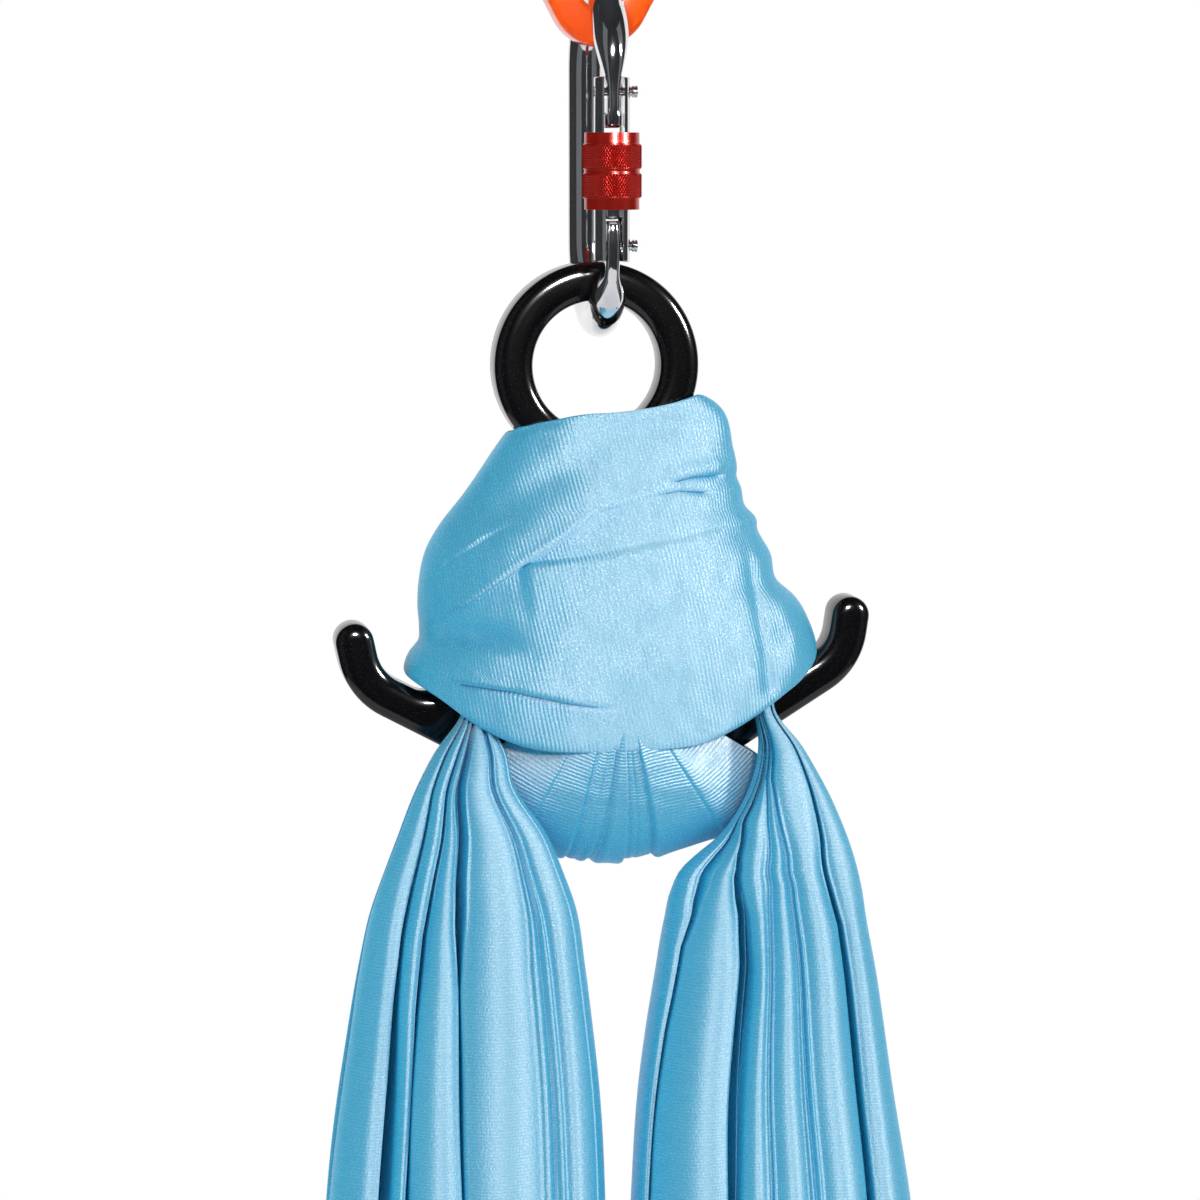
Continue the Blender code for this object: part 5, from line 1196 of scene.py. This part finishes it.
# Height, outer edge, inner edge, back and front, from the small ring's centre
LEFT_TAIL = (
    (0.0920, -0.0395, -0.0335, -0.0105, -0.0190), (0.0990, -0.0412, -0.0335, -0.0110, -0.0210),
    (0.1085, -0.0492, -0.0290, -0.0135, -0.0280), (0.1168, -0.0545, -0.0275, -0.0170, -0.0320),
    (0.1317, -0.0610, -0.0180, -0.0180, -0.0350), (0.1430, -0.0654, -0.0132, -0.0170, -0.0360),
    (0.1524, -0.0682, -0.0095, -0.0110, -0.0365), (0.1700, -0.0716, -0.0060, -0.0040, -0.0360),
    (0.1950, -0.0753, -0.0028, 0.0010, -0.0350), (0.2440, -0.0812, 0.0006, 0.0080, -0.0330),
    (0.4050, -0.0840, -0.0005, 0.0180, -0.0290), (0.6480, -0.0840, -0.0010, 0.0240, -0.0260),
    (0.9000, -0.0840, -0.0010, 0.0260, -0.0260),
)
RIGHT_TAIL = (
    (0.0920, 0.0500, 0.0440, -0.0105, -0.0190), (0.0990, 0.0500, 0.0443, -0.0110, -0.0210),
    (0.1085, 0.0567, 0.0448, -0.0135, -0.0280), (0.1167, 0.0614, 0.0430, -0.0155, -0.0308),
    (0.1232, 0.0648, 0.0401, -0.0168, -0.0323), (0.1300, 0.0678, 0.0356, -0.0175, -0.0337),
    (0.1350, 0.0698, 0.0308, -0.0176, -0.0347), (0.1392, 0.0713, 0.0250, -0.0174, -0.0355),
    (0.1430, 0.0725, 0.0208, -0.0166, -0.0360), (0.1493, 0.0742, 0.0179, -0.0140, -0.0365),
    (0.1590, 0.0762, 0.0166, -0.0080, -0.0365), (0.1754, 0.0797, 0.0147, -0.0025, -0.0360),
    (0.1928, 0.0828, 0.0123, 0.0010, -0.0350), (0.2068, 0.0852, 0.0106, 0.0030, -0.0345),
    (0.2480, 0.0927, 0.0086, 0.0080, -0.0330),
    (0.4050, 0.0920, 0.0070, 0.0180, -0.0290), (0.6480, 0.0900, 0.0062, 0.0240, -0.0260),
    (0.9000, 0.0890, 0.0060, 0.0260, -0.0260),
)
# Each front fold, in three tables by height: its place across, its share of the depth, and half its
# mouth in mm
LEFT_FOLDS = (
    (((0.10, 0.10), (0.123, 0.160), (0.141, 0.165), (0.158, 0.157), (0.18, 0.161), (0.24, 0.190)),
     ((0.10, 0.5), (0.16, 0.80)),
     ((0.10, 0.4), (0.165, 0.5), (0.19, 1.2), (0.25, 2.2), (0.5, 1.6))),
    (((0.10, 0.28), (0.123, 0.290), (0.141, 0.272), (0.158, 0.250), (0.18, 0.248), (0.25, 0.272)),
     ((0.10, 0.5), (0.16, 0.80)),
     ((0.10, 0.4), (0.25, 0.6))),
    (((0.10, 0.42), (0.141, 0.415), (0.158, 0.413), (0.18, 0.426), (0.25, 0.480)),
     ((0.10, 0.6), (0.16, 0.80)),
     ((0.10, 0.6), (0.12, 1.7), (0.155, 1.8), (0.175, 0.5), (0.25, 0.3))),
    (((0.10, 0.74), (0.123, 0.767), (0.141, 0.776), (0.25, 0.800)),
     ((0.10, 0.5), (0.13, 0.20), (0.17, 0.10)),
     ((0.10, 0.6), (0.14, 1.2), (0.17, 2.6), (0.25, 3.0))),
    (((0.10, 0.955),), ((0.10, 0.0), (0.4, 0.0), (0.9, 0.4)), ((0.10, 0.3),)),
)
RIGHT_FOLDS = (
    (((0.10, 0.25), (0.125, 0.25), (0.14, 0.22), (0.16, 0.165), (0.25, 0.176)),
     ((0.10, 0.5), (0.14, 0.80)),
     ((0.11, 0.3), (0.15, 1.0), (0.25, 1.1))),
    (((0.10, 0.78), (0.117, 0.80), (0.129, 0.62), (0.139, 0.455), (0.147, 0.405), (0.165, 0.385),
      (0.25, 0.375)),
     ((0.10, 0.4), (0.14, 0.16), (0.25, 0.07)),
     ((0.10, 0.5), (0.25, 1.8))),
    (((0.10, 0.87), (0.117, 0.88), (0.129, 0.73), (0.139, 0.570), (0.147, 0.520), (0.25, 0.535)),
     ((0.10, 0.3), (0.15, 0.08)),
     ((0.10, 0.4), (0.25, 0.7))),
    (((0.10, 0.93), (0.129, 0.93), (0.139, 0.755), (0.142, 0.712), (0.147, 0.685), (0.155, 0.650),
      (0.17, 0.633), (0.25, 0.670)),
     ((0.10, 0.5), (0.14, 0.80)),
     ((0.12, 0.6), (0.14, 0.9), (0.155, 1.6), (0.18, 2.2), (0.21, 2.2), (0.25, 1.8))),
    (((0.10, 0.98), (0.129, 0.98), (0.139, 0.885), (0.147, 0.868), (0.155, 0.880), (0.165, 0.918),
      (0.19, 0.940), (0.25, 0.955)),
     ((0.10, 0.2), (0.13, 0.5), (0.9, 0.4)),
     ((0.10, 0.2), (0.129, 0.2), (0.139, 2.0), (0.147, 2.0), (0.155, 1.0), (0.165, 0.6), (0.25, 0.5))),
)
TAIL_ROWS = 150
BULGE, SPACING_ON, SPACING_IN = 0.0032, 0.0012, 0.0034
steps = np.cumsum(np.concatenate(([0.0], 1.016 ** np.arange(TAIL_ROWS))))


def hang_tail(name, node, form, folds, outside):
    """One leg of the cloth. outside is 1 for the leg whose outer edge is on the left, else -1."""
    heights = form[0][0] + (form[-1][0] - 0.0006 - form[0][0]) * steps / steps[-1]
    sections, frames = [], []
    for down, (outer, inner, back_y, front_y) in zip(heights, read_table(form, heights)):
        half_u, half_v = abs(inner - outer) / 2, (back_y - front_y) / 2
        scale = min(1.0, half_u / 0.03)
        fronts = [(u, share, min(mouth, 0.12 * half_u)) for u, share, mouth in fronts_at(folds, down)]
        sections.append(gathered(half_u, half_v, fronts, 0.0, BULGE * scale))
        frames.append(((outer + inner) / 2, (back_y + front_y) / 2))
    grid, run = resample(sections, SPACING_ON, SPACING_IN)
    middle = np.array(frames)
    height, run = heights[:, None], run[None, :]
    sway = 0.0009 * np.sin(height * 33 + run * 21) + 0.0005 * np.sin(height * 71 - run * 34 + 1.7)
    sway *= smooth_step((height - 0.11) / 0.08)
    x = EIGHT.x + middle[:, 0:1] + outside * grid[..., 0] + sway * 0.5
    y = middle[:, 1:2] + grid[..., 1] + sway
    along, across = np.broadcast_to(height, x.shape), np.broadcast_to(run, x.shape)
    piece = cloth_piece(name, np.stack((x, y, EIGHT.z - along), axis=-1), across, along, False, 0.0)
    stand_for(piece, node, "descender", tricot)


hang_tail("tail_left", "fabric_tail_left", LEFT_TAIL, LEFT_FOLDS, 1)
hang_tail("tail_right", "fabric_tail_right", RIGHT_TAIL, RIGHT_FOLDS, -1)

# Sling
# The rest of the cloth, from one tail round to the other, where the user sits or lies. At rest it hangs
# as a narrow loop, and its pleats spread front to back at the bottom.
SLING = (
    (-0.0425, 0.9000, 0.0415, 0.0260), (-0.0425, 0.9299, 0.0414, 0.0265), (-0.0430, 1.0098, 0.0405, 0.0310),
    (-0.0480, 1.1197, 0.0360, 0.0450), (-0.0640, 1.2400, 0.0255, 0.0800), (-0.0850, 1.3602, 0.0155, 0.1180),
    (-0.0860, 1.4499, 0.0105, 0.1350), (-0.0580, 1.5253, 0.0085, 0.1430), (0.0025, 1.5500, 0.0080, 0.1450),
)
form = np.array(list(SLING) + [(0.0050 - x, h, thick, wide) for x, h, thick, wide in SLING[-2::-1]])
run = np.concatenate(([0], np.cumsum(np.hypot(np.diff(form[:, 0]), np.diff(form[:, 1])))))
SEAM, SLING_LEAN, LAST = 0.9, 0.020, 160
places = np.linspace(0, 1, LAST + 1)
rows = read_table(np.column_stack((run / run[-1], form)), places)
sections, frames = [], []
for index, (x, down, thick, wide) in enumerate(rows):
    ahead, behind = rows[min(index + 1, LAST)], rows[max(index - 1, 0)]
    along = np.array((ahead[0] - behind[0], 0.0, behind[1] - ahead[1]))
    along /= np.linalg.norm(along)
    across = np.array((-along[2], 0.0, along[0]))
    share = places[index]
    turn = math.pi / 2 * ease(0.0, 1.0, (min(share, 1 - share) - 0.06) / 0.16)
    half_u = math.hypot(thick * math.cos(turn), wide * math.sin(turn))
    half_v = math.hypot(thick * math.sin(turn), wide * math.cos(turn))
    fronts = [tuple(p + (q - p) * share for p, q in zip(left, right))
              for left, right in zip(fronts_at(LEFT_FOLDS, SEAM), fronts_at(RIGHT_FOLDS, SEAM))]
    sections.append(gathered(half_u, half_v, fronts, SLING_LEAN * math.sin(turn), BULGE))
    frames.append((x, down, across, turn))
grid, run = resample(sections, 0.0014, SPACING_IN)
points = np.zeros(grid.shape[:2] + (3,))
for index, (x, down, across, turn) in enumerate(frames):
    fore = np.array((0.0, 1.0, 0.0))
    e_u = math.cos(turn) * across + math.sin(turn) * fore
    e_v = -math.sin(turn) * across + math.cos(turn) * fore
    middle = np.array((EIGHT.x + x, 0, EIGHT.z - down))
    points[index] = middle + grid[index][:, 0:1] * e_u + grid[index][:, 1:2] * e_v
length = np.concatenate(([0], np.cumsum(np.hypot(np.diff(rows[:, 0]), np.diff(rows[:, 1])))))
sling = cloth_piece("sling", points, np.broadcast_to(run[None, :], points.shape[:2]),
                    np.broadcast_to(SEAM + length[:, None], points.shape[:2]), False, 0.0)
stand_for(sling, "fabric_sling", "descender", tricot)
